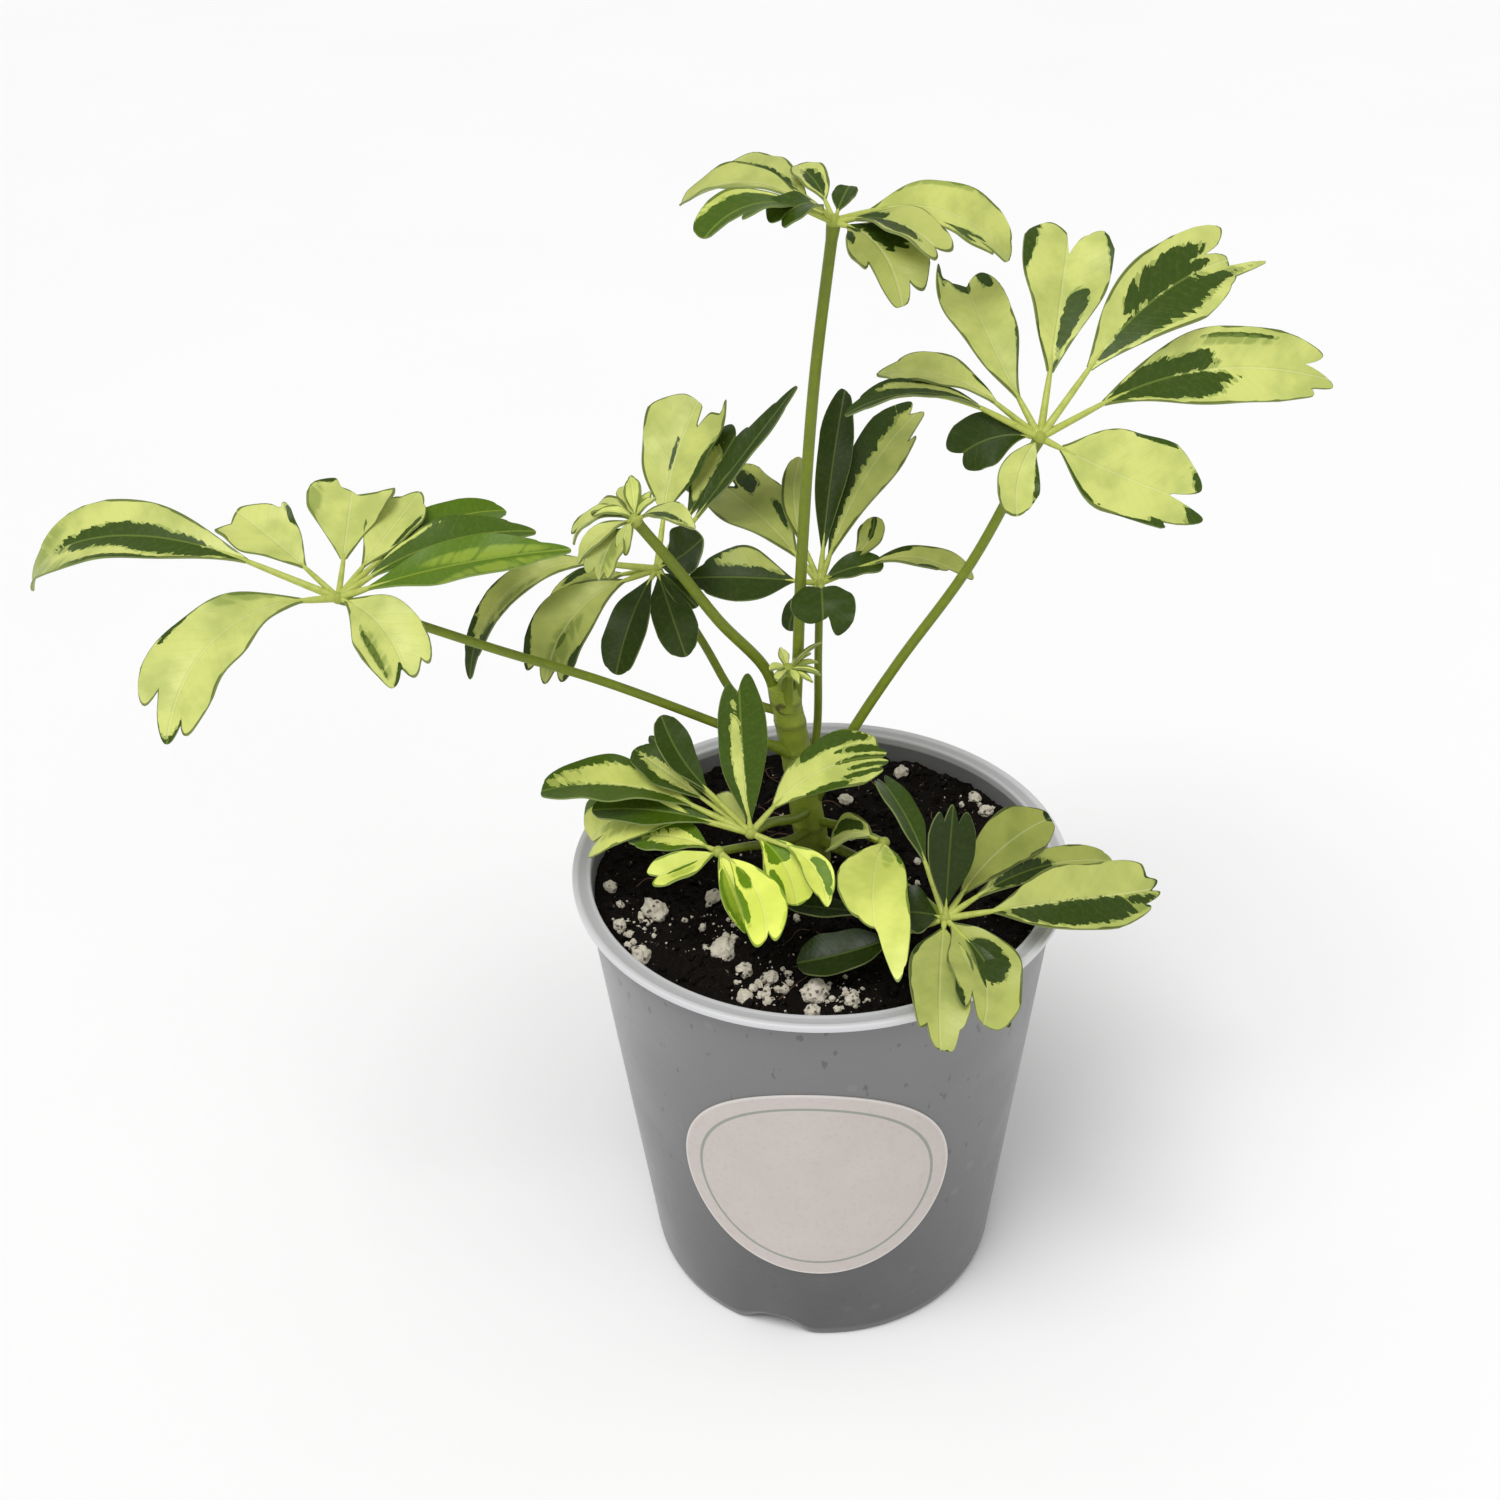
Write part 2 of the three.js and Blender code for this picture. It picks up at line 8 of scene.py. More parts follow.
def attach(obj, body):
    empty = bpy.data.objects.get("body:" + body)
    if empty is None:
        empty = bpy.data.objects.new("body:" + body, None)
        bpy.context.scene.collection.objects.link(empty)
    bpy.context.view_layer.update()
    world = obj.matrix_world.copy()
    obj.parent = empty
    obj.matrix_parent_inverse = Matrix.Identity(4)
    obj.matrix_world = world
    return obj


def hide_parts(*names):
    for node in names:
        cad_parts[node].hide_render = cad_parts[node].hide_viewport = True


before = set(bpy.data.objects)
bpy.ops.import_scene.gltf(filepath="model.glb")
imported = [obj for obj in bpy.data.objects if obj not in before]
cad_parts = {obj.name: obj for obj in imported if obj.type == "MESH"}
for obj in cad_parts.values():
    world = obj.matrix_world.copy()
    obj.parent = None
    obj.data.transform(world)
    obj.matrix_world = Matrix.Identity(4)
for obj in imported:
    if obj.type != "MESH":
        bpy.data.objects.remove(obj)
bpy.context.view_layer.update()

# ---- Pot ----------------------------------------------------------------------------------
# A round nursery pot, moulded in one shot from thin grey polypropylene that lets some light
# through. Its wall widens upward to a thin flat rim, and the foot ring rises in three low arches
# and the raised floor has six holes, so that water runs off.

MM = 0.001
POT_SIDES = 192
POT_HEIGHT = 120 * MM
RIM_RADIUS = 60 * MM
RIM_WIDTH = 4.6 * MM
RIM_BOTTOM = 118 * MM
WALL_TOP_RADIUS = 57.1 * MM
WALL_FOOT_RADIUS = 45 * MM
WALL_FOOT = 3 * MM
FOOT_RADIUS = 44 * MM
WALL = 1.6 * MM
FLOOR_LIFT = 4 * MM
FLOOR_THICK = 1.8 * MM
BUTTON_RADIUS = 9 * MM


def wall_at(height):
    """The wall's outer radius at a height."""
    slope = (WALL_TOP_RADIUS - WALL_FOOT_RADIUS) / (RIM_BOTTOM - WALL_FOOT)
    return WALL_FOOT_RADIUS + slope * (height - WALL_FOOT)


def rounded(corners, size, steps=4):
    """A profile with each marked corner (radius, height, True) replaced by a small curve."""
    path = []
    for i, (radius, height, *soft) in enumerate(corners):
        if not soft:
            path.append((radius, height))
            continue
        here = Vector((radius, height))
        before = Vector(corners[i - 1][:2]) - here
        after = Vector(corners[i + 1][:2]) - here
        start = here + before.normalized() * min(size, before.length * 0.45)
        end = here + after.normalized() * min(size, after.length * 0.45)
        for k in range(steps + 1):
            share = k / steps
            path.append(tuple(start.lerp(here, share).lerp(here.lerp(end, share), share)))
    return path


def choose(*pieces):
    """Selects these pieces alone, with the first one active."""
    bpy.ops.object.select_all(action="DESELECT")
    for piece in pieces:
        piece.select_set(True)
        bpy.context.view_layer.objects.active = pieces[0]


def turned(name, profile, sides):
    """A round piece, drawn up from a disc by one extrusion for each step of its profile."""
    choose()
    radius, height = profile[0]
    bpy.ops.mesh.primitive_circle_add(
        vertices=sides, radius=radius, fill_type="NGON", location=(0, 0, height)
    )
    piece = bpy.context.object
    piece.name = name
    bpy.ops.object.transform_apply(location=True)
    bpy.ops.object.mode_set(mode="EDIT")
    bpy.ops.mesh.select_all(action="SELECT")
    for wider, higher in profile[1:]:
        bpy.ops.mesh.extrude_region_move(TRANSFORM_OT_translate={"value": (0, 0, higher - height)})
        widen = wider / radius
        bpy.ops.transform.resize(value=(widen, widen, 1), center_override=(0, 0, higher))
        radius, height = wider, higher
    bpy.ops.mesh.select_all(action="SELECT")
    bpy.ops.mesh.normals_make_consistent(inside=False)
    bpy.ops.object.mode_set(mode="OBJECT")
    return piece


def cut_away(piece, cutter):
    """Cuts one shape out of a piece and throws the cutter away."""
    choose(piece)
    cut = piece.modifiers.new("cut", "BOOLEAN")
    cut.operation = "DIFFERENCE"
    cut.solver = "EXACT"
    cut.object = cutter
    bpy.ops.object.modifier_apply(modifier=cut.name)
    bpy.data.objects.remove(cutter)


def smooth_by_angle(piece, degrees):
    """Shades a piece smooth, but for edges sharper than the angle."""
    choose(piece)
    bpy.ops.object.shade_smooth_by_angle(angle=math.radians(degrees))


floor_top = FLOOR_LIFT + FLOOR_THICK
rim_inner = RIM_RADIUS - RIM_WIDTH
pot_profile = rounded(
    [
        (BUTTON_RADIUS, 0),
        (BUTTON_RADIUS + 1 * MM, FLOOR_LIFT),
        (wall_at(FLOOR_LIFT) - WALL, FLOOR_LIFT),
        (FOOT_RADIUS - WALL, 0),
        (FOOT_RADIUS, 0, True),
        (WALL_FOOT_RADIUS, WALL_FOOT, True),
        *((wall_at(height * MM), height * MM) for height in (30, 60, 90)),
        (WALL_TOP_RADIUS, RIM_BOTTOM, True),
        (RIM_RADIUS - 0.1 * MM, RIM_BOTTOM + 0.1 * MM, True),
        (RIM_RADIUS, POT_HEIGHT, True),
        (RIM_RADIUS - 1.3 * MM, POT_HEIGHT - 0.1 * MM, True),
        (RIM_RADIUS - 1.7 * MM, POT_HEIGHT - 0.5 * MM, True),
        (rim_inner + 1.3 * MM, POT_HEIGHT - 0.5 * MM, True),
        (rim_inner + 0.9 * MM, POT_HEIGHT - 0.2 * MM, True),
        (rim_inner, POT_HEIGHT - 0.3 * MM, True),
        (rim_inner, RIM_BOTTOM - 0.4 * MM, True),
        (wall_at(60 * MM) - WALL, 60 * MM),
        (wall_at(floor_top) - WALL, floor_top, True),
        (30 * MM, floor_top),
        (2 * MM, floor_top),
    ],
    size=0.7 * MM,
)
pot = turned("nursery_pot", pot_profile, POT_SIDES)

ARCH_RISE = 4.6 * MM
ARCH_SPACING = 120  # degrees
ARCH_TURNS = (-123, -111, -105.5, -95.5)  # where the first arch starts, peaks and ends, in degrees
ARCH_REACH = 9 * MM  # the height up to which the wall follows the arch
FOOT_INNER = 38 * MM
HOLES = 6
HOLE_RADIUS = 3.5 * MM
HOLE_CIRCLE = 27 * MM


def eased(value, low, high):
    """A soft step from 0 at low to 1 at high."""
    share = min(1.0, max(0.0, (value - low) / (high - low)))
    return share * share * (3 - 2 * share)


for vertex in pot.data.vertices:
    x, y, z = vertex.co
    if z > 2 * WALL_FOOT or math.hypot(x, y) < FOOT_INNER:
        continue
    turn = (math.degrees(math.atan2(y, x)) - ARCH_TURNS[0]) % ARCH_SPACING + ARCH_TURNS[0]
    arch = eased(turn, *ARCH_TURNS[:2]) * (1 - eased(turn, *ARCH_TURNS[2:]))
    vertex.co.z = z + arch * ARCH_RISE * (1 - z / ARCH_REACH)
for i in range(HOLES):
    turn = math.radians(i * 360 / HOLES)
    at = (HOLE_CIRCLE * math.cos(turn), HOLE_CIRCLE * math.sin(turn), 0)
    choose()
    bpy.ops.mesh.primitive_cylinder_add(
        vertices=24, radius=HOLE_RADIUS, depth=5 * FLOOR_LIFT, location=at
    )
    cut_away(pot, bpy.context.object)
smooth_by_angle(pot, 32)


def tint(red, green, blue):
    """A colour given as on a screen, 0 to 255, in the values that a shader takes."""
    parts = []
    for level in (red, green, blue):
        level /= 255
        parts.append(level / 12.92 if level <= 0.04045 else ((level + 0.055) / 1.055) ** 2.4)
    return (*parts, 1.0)


def put(kind, inputs, **settings):
    """A node in the tree of the sockets that feed it. An input is a plain value or a socket."""
    feeds = [value for value in inputs.values() if isinstance(value, bpy.types.NodeSocket)]
    tree = feeds[0].id_data
    made = tree.nodes.new("ShaderNode" + kind)
    for name, value in settings.items():
        setattr(made, name, value)
    for key, value in inputs.items():
        if isinstance(value, bpy.types.NodeSocket):
            tree.links.new(value, made.inputs[key])
        else:
            made.inputs[key].default_value = value
    return made


def mixed(share, first, second):
    """Two colours mixed: share 0 gives the first, 1 the second."""
    return put("Mix", {0: share, 6: first, 7: second}, data_type="RGBA").outputs[2]


def ramp(value, low, high, start=0.0, end=1.0):
    """A smooth step from start, where the value is low, to end, where it is high."""
    inputs = {"Value": value, 1: low, 2: high, 3: start, 4: end}
    return put("MapRange", inputs, interpolation_type="SMOOTHSTEP").outputs["Result"]


def sums(operation, first, second=0.0, third=0.0):
    """One step of arithmetic."""
    return put("Math", {0: first, 1: second, 2: third}, operation=operation).outputs[0]


def cloud(vector, scale, detail=3.0, roughness=0.55):
    """Soft noise from 0 to 1."""
    inputs = {"Vector": vector, "Scale": scale, "Detail": detail, "Roughness": roughness}
    return put("TexNoise", inputs).outputs["Fac"]


# Dust and handling: a fine speckle and broad soft patches, which every finish below uses.
wear = bpy.data.node_groups.new("wear_and_speckle", "ShaderNodeTree")
wear.interface.new_socket("Vector", in_out="INPUT", socket_type="NodeSocketVector")
wear.interface.new_socket("Scale", in_out="INPUT", socket_type="NodeSocketFloat")
wear_in = wear.nodes.new("NodeGroupInput").outputs
wear_out = wear.nodes.new("NodeGroupOutput")
spots = cloud(wear_in["Vector"], sums("MULTIPLY", wear_in["Scale"], 3.1), 1.0)
for title, pattern in (
    ("Patches", cloud(wear_in["Vector"], wear_in["Scale"])),
    ("Speckle", cloud(wear_in["Vector"], sums("MULTIPLY", wear_in["Scale"], 9.0), 2.0)),
    ("Specks", ramp(spots, 0.7, 0.76)),
):
    wear.interface.new_socket(title, in_out="OUTPUT", socket_type="NodeSocketFloat")
    wear.links.new(pattern, wear_out.inputs[title])


class Finish:
    """A new material, with its place on the piece, or its lay, and its marks of wear."""

    def __init__(self, name, wear_scale, lay=None):
        self.material = bpy.data.materials.new(name)
        self.material.use_nodes = True
        self.tree = self.material.node_tree
        self.shader = self.tree.nodes["Principled BSDF"].inputs
        if lay:
            self.place = self.painted(lay, "Vector")
        else:
            self.place = self.tree.nodes.new("ShaderNodeTexCoord").outputs["Object"]
        marks = self.tree.nodes.new("ShaderNodeGroup")
        marks.node_tree = wear
        self.tree.links.new(self.place, marks.inputs["Vector"])
        marks.inputs["Scale"].default_value = wear_scale
        self.patches, self.speckle, self.specks = marks.outputs

    def painted(self, name, output="Fac"):
        """What the piece's own attribute of that name says."""
        source = self.tree.nodes.new("ShaderNodeAttribute")
        source.attribute_name = name
        return source.outputs[output]

    def coat(self, colour, mark, roughness, height, distance, strength):
        """Its colour, its roughness, which follows a mark, and its fine relief."""
        self.tree.links.new(colour, self.shader["Base Color"])
        self.tree.links.new(ramp(mark, 0.3, 0.7, *roughness), self.shader["Roughness"])
        bump = put("Bump", {"Height": height, "Distance": distance, "Strength": strength})
        self.tree.links.new(bump.outputs["Normal"], self.shader["Normal"])


plastic = Finish("grey_translucent_plastic", 45.0)
height = put("SeparateXYZ", {0: plastic.place}).outputs["Z"]
# painted shade: the wall is painted darker towards the foot
colour = mixed(ramp(height, 0.0, 0.115), tint(56, 56, 57), tint(113, 113, 114))
colour = mixed(ramp(plastic.patches, 0.35, 0.75, 0.0, 0.14), colour, tint(126, 126, 127))
drops = put("TexVoronoi", {"Vector": plastic.place, "Scale": 110.0}).outputs["Distance"]
drops = sums("MULTIPLY", ramp(drops, 0.2, 0.1), ramp(plastic.patches, 0.5, 0.62))
colour = mixed(sums("MULTIPLY", drops, 0.16), colour, tint(150, 150, 151))
stretched = put("Mapping", {"Vector": plastic.place, "Scale": (1.0, 1.0, 0.5)}).outputs[0]
specks = ramp(cloud(stretched, 400.0, 1.0), 0.7, 0.75, 0.0, 0.5)
colour = mixed(specks, colour, tint(46, 46, 46))
# the rim: a painted highlight along the outer lip, a greyer top and a painted highlight round the
# opening
level_place = put("VectorMath", {0: plastic.place, 1: (1, 1, 0)}, operation="MULTIPLY").outputs[0]
reach = put("VectorMath", {0: level_place}, operation="LENGTH").outputs["Value"]
rim_with_highlights = mixed(ramp(reach, 0.0580, 0.0587), tint(176, 176, 178), tint(210, 210, 212))
rim_with_highlights = mixed(ramp(reach, 0.0566, 0.0561), rim_with_highlights, tint(194, 194, 196))
colour = mixed(ramp(height, 0.1174, 0.1181), colour, rim_with_highlights)
relief = sums("ADD", plastic.speckle, plastic.patches)
plastic.coat(colour, plastic.patches, (0.36, 0.48), relief, 0.00012, 0.4)
plastic.shader["Sheen Weight"].default_value = 0.22
plastic.shader["Sheen Roughness"].default_value = 0.45
pot.data.materials.append(plastic.material)
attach(pot, "root")
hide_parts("pot")

# ---- Sticker ------------------------------------------------------------------------------
# One round sticker of matt coated paper, 67 mm across, wrapped on the sloping wall of the pot.
# It is left bare but for a thin printed ring.

STICKER_RADIUS = 33.7 * MM
STICKER_CENTRE = 61 * MM
STICKER_TURN = -94.4
STICKER_THICK = 0.35 * MM
STICKER_LIFT = 0.05 * MM
RING_REACH = 0.86  # the printed ring's radius, as a share of the sticker's



def grid(name, columns, rows):
    """A flat square from -1 to 1, divided evenly."""
    choose()
    bpy.ops.mesh.primitive_grid_add(x_subdivisions=columns, y_subdivisions=rows, size=2)
    bpy.context.object.name = name
    return bpy.context.object


def made_round(vertex):
    """Where a point of that square lies when the square is drawn in to a disc of radius 1."""
    u, v = vertex.co.x, vertex.co.y
    return u * math.sqrt(1 - v * v / 2), v * math.sqrt(1 - u * u / 2)


sticker = grid("sticker", 48, 48)
ring = sticker.data.attributes.new("reach", "FLOAT", "POINT")
for i, vertex in enumerate(sticker.data.vertices):
    across, rise = made_round(vertex)
    ring.data[i].value = math.hypot(across, rise)
    z = STICKER_CENTRE + STICKER_RADIUS * rise
    radius = wall_at(z) + STICKER_LIFT
    turn = math.radians(STICKER_TURN) + across * STICKER_RADIUS / radius
    vertex.co = (radius * math.cos(turn), radius * math.sin(turn), z)
thicken = sticker.modifiers.new("thicken", "SOLIDIFY")
thicken.thickness = STICKER_THICK
thicken.offset = 1
bpy.ops.object.modifier_apply(modifier=thicken.name)
smooth_by_angle(sticker, 40)

paper = Finish("bare_sticker_paper", 90.0)
reach = paper.painted("reach")
colour = mixed(paper.patches, tint(194, 184, 178), tint(205, 196, 191))
colour = mixed(ramp(paper.speckle, 0.5, 0.8, 0.0, 0.35), colour, tint(180, 171, 164))
ring_band = sums("ABSOLUTE", sums("SUBTRACT", reach, RING_REACH))
colour = mixed(ramp(ring_band, 0.014, 0.009, 0.0, 0.7), colour, tint(118, 134, 118))
colour = mixed(ramp(reach, 0.975, 1.0, 0.0, 0.6), colour, tint(232, 228, 224))
paper.coat(colour, paper.speckle, (0.5, 0.62), paper.speckle, 0.00006, 0.6)
sticker.data.materials.append(paper.material)
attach(sticker, "root")
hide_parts("label")

# ---- Soil ---------------------------------------------------------------------------------
# Peat-based potting mix that fills the pot to just under the rim. Its surface is loose: crumbs
# and a few root fibres lie on it.

SOIL_LEVEL = 114.5 * MM
SOIL_BUMP = 0.9 * MM
SOIL_GAP = 0.3 * MM
SOIL_EDGE = 4 * MM  # how far in from the wall the swell begins
SOIL_SINK = 0.4 * MM


def soil_height(x, y):
    """Height of the soil's top, the broad swell alone, for a place in metres."""
    x, y = x / MM, y / MM
    swell = math.sin(x * 0.31 + 1) * math.cos(y * 0.27) + 0.5 * math.sin(x * 0.7 + y * 0.6)
    return SOIL_LEVEL + SOIL_BUMP * swell


def crumbly(x, y):
    """The crumbs' relief on top of the swell."""
    at = Vector((x, y, 0)) / MM
    coarse = noise.noise(at * 0.16)
    middle = abs(noise.noise(at * 0.42 + Vector((7, 3, 1))))
    fine = noise.noise(at * 1.1)
    return (1.0 * coarse + 1.7 * middle + 0.45 * fine - 0.5) * MM


soil_radius = wall_at(SOIL_LEVEL) - WALL - SOIL_GAP
soil = grid("potting_soil", 150, 150)
for vertex in soil.data.vertices:
    x, y = (soil_radius * part for part in made_round(vertex))
    inward = min(1.0, (soil_radius - math.hypot(x, y)) / SOIL_EDGE)
    z = SOIL_LEVEL + inward * (soil_height(x, y) - SOIL_LEVEL) + crumbly(x, y) - SOIL_SINK
    vertex.co = (x, y, z)
bpy.ops.object.mode_set(mode="EDIT")
bpy.ops.mesh.select_all(action="SELECT")
bpy.ops.mesh.region_to_loop()
foot_z = floor_top + SOIL_GAP
foot_share = (wall_at(foot_z) - WALL - SOIL_GAP) / soil_radius
bpy.ops.mesh.extrude_region_move(TRANSFORM_OT_translate={"value": (0, 0, foot_z - SOIL_LEVEL)})
bpy.ops.transform.resize(value=(foot_share, foot_share, 0), center_override=(0, 0, foot_z))
bpy.ops.mesh.edge_face_add()
bpy.ops.mesh.select_all(action="SELECT")
bpy.ops.mesh.normals_make_consistent(inside=False)
bpy.ops.object.mode_set(mode="OBJECT")
smooth_by_angle(soil, 60)

peat = Finish("dark_peat_mix", 260.0)
colour = mixed(peat.patches, tint(6, 5, 4), tint(22, 17, 14))
colour = mixed(ramp(peat.speckle, 0.5, 0.75, 0.0, 0.4), colour, tint(54, 42, 33))
colour = mixed(sums("MULTIPLY", peat.specks, 0.6), colour, tint(140, 130, 114))
relief = sums("ADD", peat.patches, peat.speckle)
peat.coat(colour, peat.patches, (0.75, 0.98), relief, 0.0006, 0.9)
peat.shader["Specular IOR Level"].default_value = 0.12
soil.data.materials.append(peat.material)
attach(soil, "root")
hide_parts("soil")


def joined(pieces, name):
    """Several pieces made one."""
    choose(*pieces)
    bpy.ops.object.join()
    pieces[0].name = name
    return pieces[0]


def scattered(name, blank, places):
    """Copies of one blank, each with its own mesh: (place, three radii, turn, roughness)."""
    copies = []
    for at, radii, turn, rough in places:
        one = blank.copy()
        one.data = blank.data.copy()
        bpy.context.collection.objects.link(one)
        spin = Matrix.Rotation(turn, 3, "Z") @ Matrix.Rotation(turn * 2.3, 3, "X")
        for vertex in one.data.vertices:
            out = vertex.co.normalized()
            dent = 1 + rough * noise.noise(out * 1.7 + Vector((turn * 9, turn, 0)))
            dent += 0.4 * rough * noise.noise(out * 4.5 + Vector((0, turn * 5, turn)))
            vertex.co = at + spin @ Vector([dent * part * size for part, size in zip(out, radii)])
        copies.append(one)
    bpy.data.objects.remove(blank)
    return joined(copies, name)


def round_blank(subdivisions):
    choose()
    bpy.ops.mesh.primitive_ico_sphere_add(subdivisions=subdivisions, radius=1)
    return bpy.context.object


CRUMBS = 900
draw = random.Random(7)
crumb_places = []
for i in range(CRUMBS):
    reach = soil_radius * math.sqrt(draw.random()) * 0.965
    turn = draw.uniform(0, math.tau)
    x, y = reach * math.cos(turn), reach * math.sin(turn)
    size = draw.uniform(0.35, 1.25) * MM
    radii = (size * draw.uniform(0.8, 1.6), size, size * draw.uniform(0.5, 0.9))
    at = Vector((x, y, soil_height(x, y) + crumbly(x, y) - 0.1 * MM))
    crumb_places.append((at, radii, turn, 0.5))
crumbs = scattered("soil_crumbs", round_blank(1), crumb_places)
smooth_by_angle(crumbs, 50)
crumbs.data.materials.append(peat.material)
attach(crumbs, "root")


def rods(name, runs, resolution=3):
    """Round tapering rods, each along its own run of points and radii, in millimetres."""
    curve = bpy.data.curves.new(name, "CURVE")
    curve.dimensions = "3D"
    curve.bevel_depth = 1.0
    curve.bevel_resolution = resolution
    curve.use_fill_caps = True
    for run in runs:
        spline = curve.splines.new("POLY")
        spline.points.add(len(run) - 1)
        for point, (at, radius) in zip(spline.points, run):
            point.co = (*at, 1)
            point.radius = radius
    rod = bpy.data.objects.new(name, curve)
    bpy.context.collection.objects.link(rod)
    choose(rod)
    bpy.ops.object.convert(target="MESH")
    return bpy.context.object


def smooth_run(points, steps=9):
    """A smooth path through a few points."""
    points = [Vector(point) for point in points]
    ends = [points[0] * 2 - points[1], *points, points[-1] * 2 - points[-2]]
    path = []
    for a, b, c, d in zip(ends, ends[1:], ends[2:], ends[3:]):
        for k in range(steps):
            t = k / steps
            path.append(
                ((2 * b) + (c - a) * t + (2 * a - 5 * b + 4 * c - d) * t ** 2
                 + (3 * b - a - 3 * c + d) * t ** 3) / 2
            )
    return path + [points[-1]]


FIBRES = 24
fibre_runs = []
for i in range(FIBRES):
    turn = draw.uniform(0.3, 2.2) if i % 3 else draw.uniform(0, math.tau)
    reach = soil_radius / MM * draw.uniform(0.25, 0.88)
    x, y = reach * math.cos(turn), reach * math.sin(turn)
    way = draw.uniform(0, math.tau)
    points = []
    for k in range(5):
        if math.hypot(x, y) > soil_radius / MM * 0.93:
            break
        z = (soil_height(x * MM, y * MM) + crumbly(x * MM, y * MM)) / MM
        points.append((x, y, z + 0.35 * math.sin(k * math.pi / 4) + 0.1))
        way += draw.uniform(-0.8, 0.8)
        x, y = x + 2.6 * math.cos(way), y + 2.6 * math.sin(way)
    if len(points) > 2:
        path = smooth_run(points, 4)
        fibre_runs.append([(at, 0.16 - 0.1 * k / len(path)) for k, at in enumerate(path)])
fibres = rods("root_fibres", fibre_runs, 1)
fibres.data.transform(Matrix.Scale(MM, 4))
smooth_by_angle(fibres, 60)
root_skin = Finish("brown_root_fibre", 300.0)
colour = mixed(root_skin.patches, tint(58, 32, 21), tint(112, 80, 54))
root_skin.coat(colour, root_skin.patches, (0.6, 0.8), root_skin.speckle, 0.00008, 0.6)
fibres.data.materials.append(root_skin.material)
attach(fibres, "root")

# ---- White granules -----------------------------------------------------------------------
# Expanded volcanic glass in the mix: light, rough white lumps of up to 7 mm, stained by the
# peat, some pressed into the surface and some loose on it.

# x, y and radius, in millimetres
GRANULES = [
    (-40, -11, 3.7), (-48, -17, 2), (-43, -27, 2.7), (-24, -26, 3.7), (-26, -8, 2.2),
    (-51, -1, 1.8), (-19, -33, 2.2), (-19, -44, 2.2), (-13, -37, 2), (-3, -42, 3.5),
    (-4, -49, 2), (5, -46, 2), (41, 31, 2), (43, 23, 2), (23, 43, 2.2), (8, 31, 2),
    (-22, 32, 2.2),
]
# Where the small ones lie thickest: x, y, spread, in millimetres, and how many
DRIFTS = [
    (-14, -40, 7, 34), (-44, -18, 9, 20), (-25, -20, 9, 14), (2, -46, 8, 18), (42, 28, 8, 8),
    (0, 0, 34, 40),
]

big_places, small_places, tiny_places = [], [], []
for x, y, radius in GRANULES:
    x, y, radius = x * MM, y * MM, radius * MM * 0.92
    at = Vector((x, y, soil_height(x, y) + crumbly(x, y) + radius * 0.25))
    radii = (radius * 1.05, radius * 0.9, radius * 0.8)
    big_places.append((at, radii, draw.uniform(0, math.tau), 0.3))
for x, y, spread, count in DRIFTS:
    for i in range(3 * count):
        at_x, at_y = draw.gauss(x, spread / 2) * MM, draw.gauss(y, spread / 2) * MM
        if math.hypot(at_x, at_y) > soil_radius * 0.95:
            continue
        small = i % 3 == 0
        radius = (draw.uniform(0.3, 1.1) if small else draw.uniform(0.12, 0.36)) * MM
        at = Vector((at_x, at_y, soil_height(at_x, at_y) + crumbly(at_x, at_y) + radius * 0.3))
        one = (at, (radius, radius, radius * 0.8), draw.uniform(0, 6), 0.5)
        (small_places if small else tiny_places).append(one)
big_ones = scattered("big_granules", round_blank(4), big_places)
small_ones = scattered("small_granules", round_blank(2), small_places)
tiny_ones = scattered("tiny_granules", round_blank(1), tiny_places)
granules = joined([big_ones, small_ones, tiny_ones], "white_granules")
smooth_by_angle(granules, 40)

perlite = Finish("stained_white_granule", 420.0)
pits = put("TexVoronoi", {"Vector": perlite.place, "Scale": 620.0}).outputs["Distance"]
pits = sums("MULTIPLY", ramp(pits, 0.34, 0.18), ramp(perlite.patches, 0.36, 0.5))
colour = mixed(perlite.patches, tint(236, 230, 216), tint(206, 195, 172))
colour = mixed(ramp(perlite.speckle, 0.55, 0.72, 0.0, 0.45), colour, tint(122, 104, 84))
colour = mixed(sums("MULTIPLY", pits, 0.85), colour, tint(46, 36, 28))
relief = sums("MULTIPLY_ADD", pits, -0.9, perlite.speckle)
perlite.coat(colour, perlite.patches, (0.8, 0.97), relief, 0.00045, 0.8)
granules.data.materials.append(perlite.material)
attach(granules, "root")

# ---- Trunk --------------------------------------------------------------------------------
# One short green stem that leans a little to the left, ringed where old leaves have dropped.

TRUNK_FOOT = 103 * MM
TRUNK_TOP = 165 * MM
TRUNK_DEPTH = 8 * MM
TRUNK_LEAN = -8 * MM
TRUNK_SCARS = (125 * MM, 136 * MM, 147 * MM, 155 * MM, 161 * MM)
KNOT_PLACE = (-8.4 * MM, 4.5 * MM, 160.5 * MM)


def trunk_centre(z):
    share = min(1.0, max(0.0, (z - TRUNK_FOOT) / (TRUNK_TOP - TRUNK_FOOT)))
    return Vector((TRUNK_LEAN * share ** 1.2, TRUNK_DEPTH, z))


def trunk_radius(z):
    share = (z - TRUNK_FOOT) / (TRUNK_TOP - TRUNK_FOOT)
    swell = sum(math.exp(-(((z - scar) / (1.0 * MM)) ** 2)) for scar in TRUNK_SCARS)
    return (4.3 - 0.8 * share) * MM + 0.22 * MM * swell


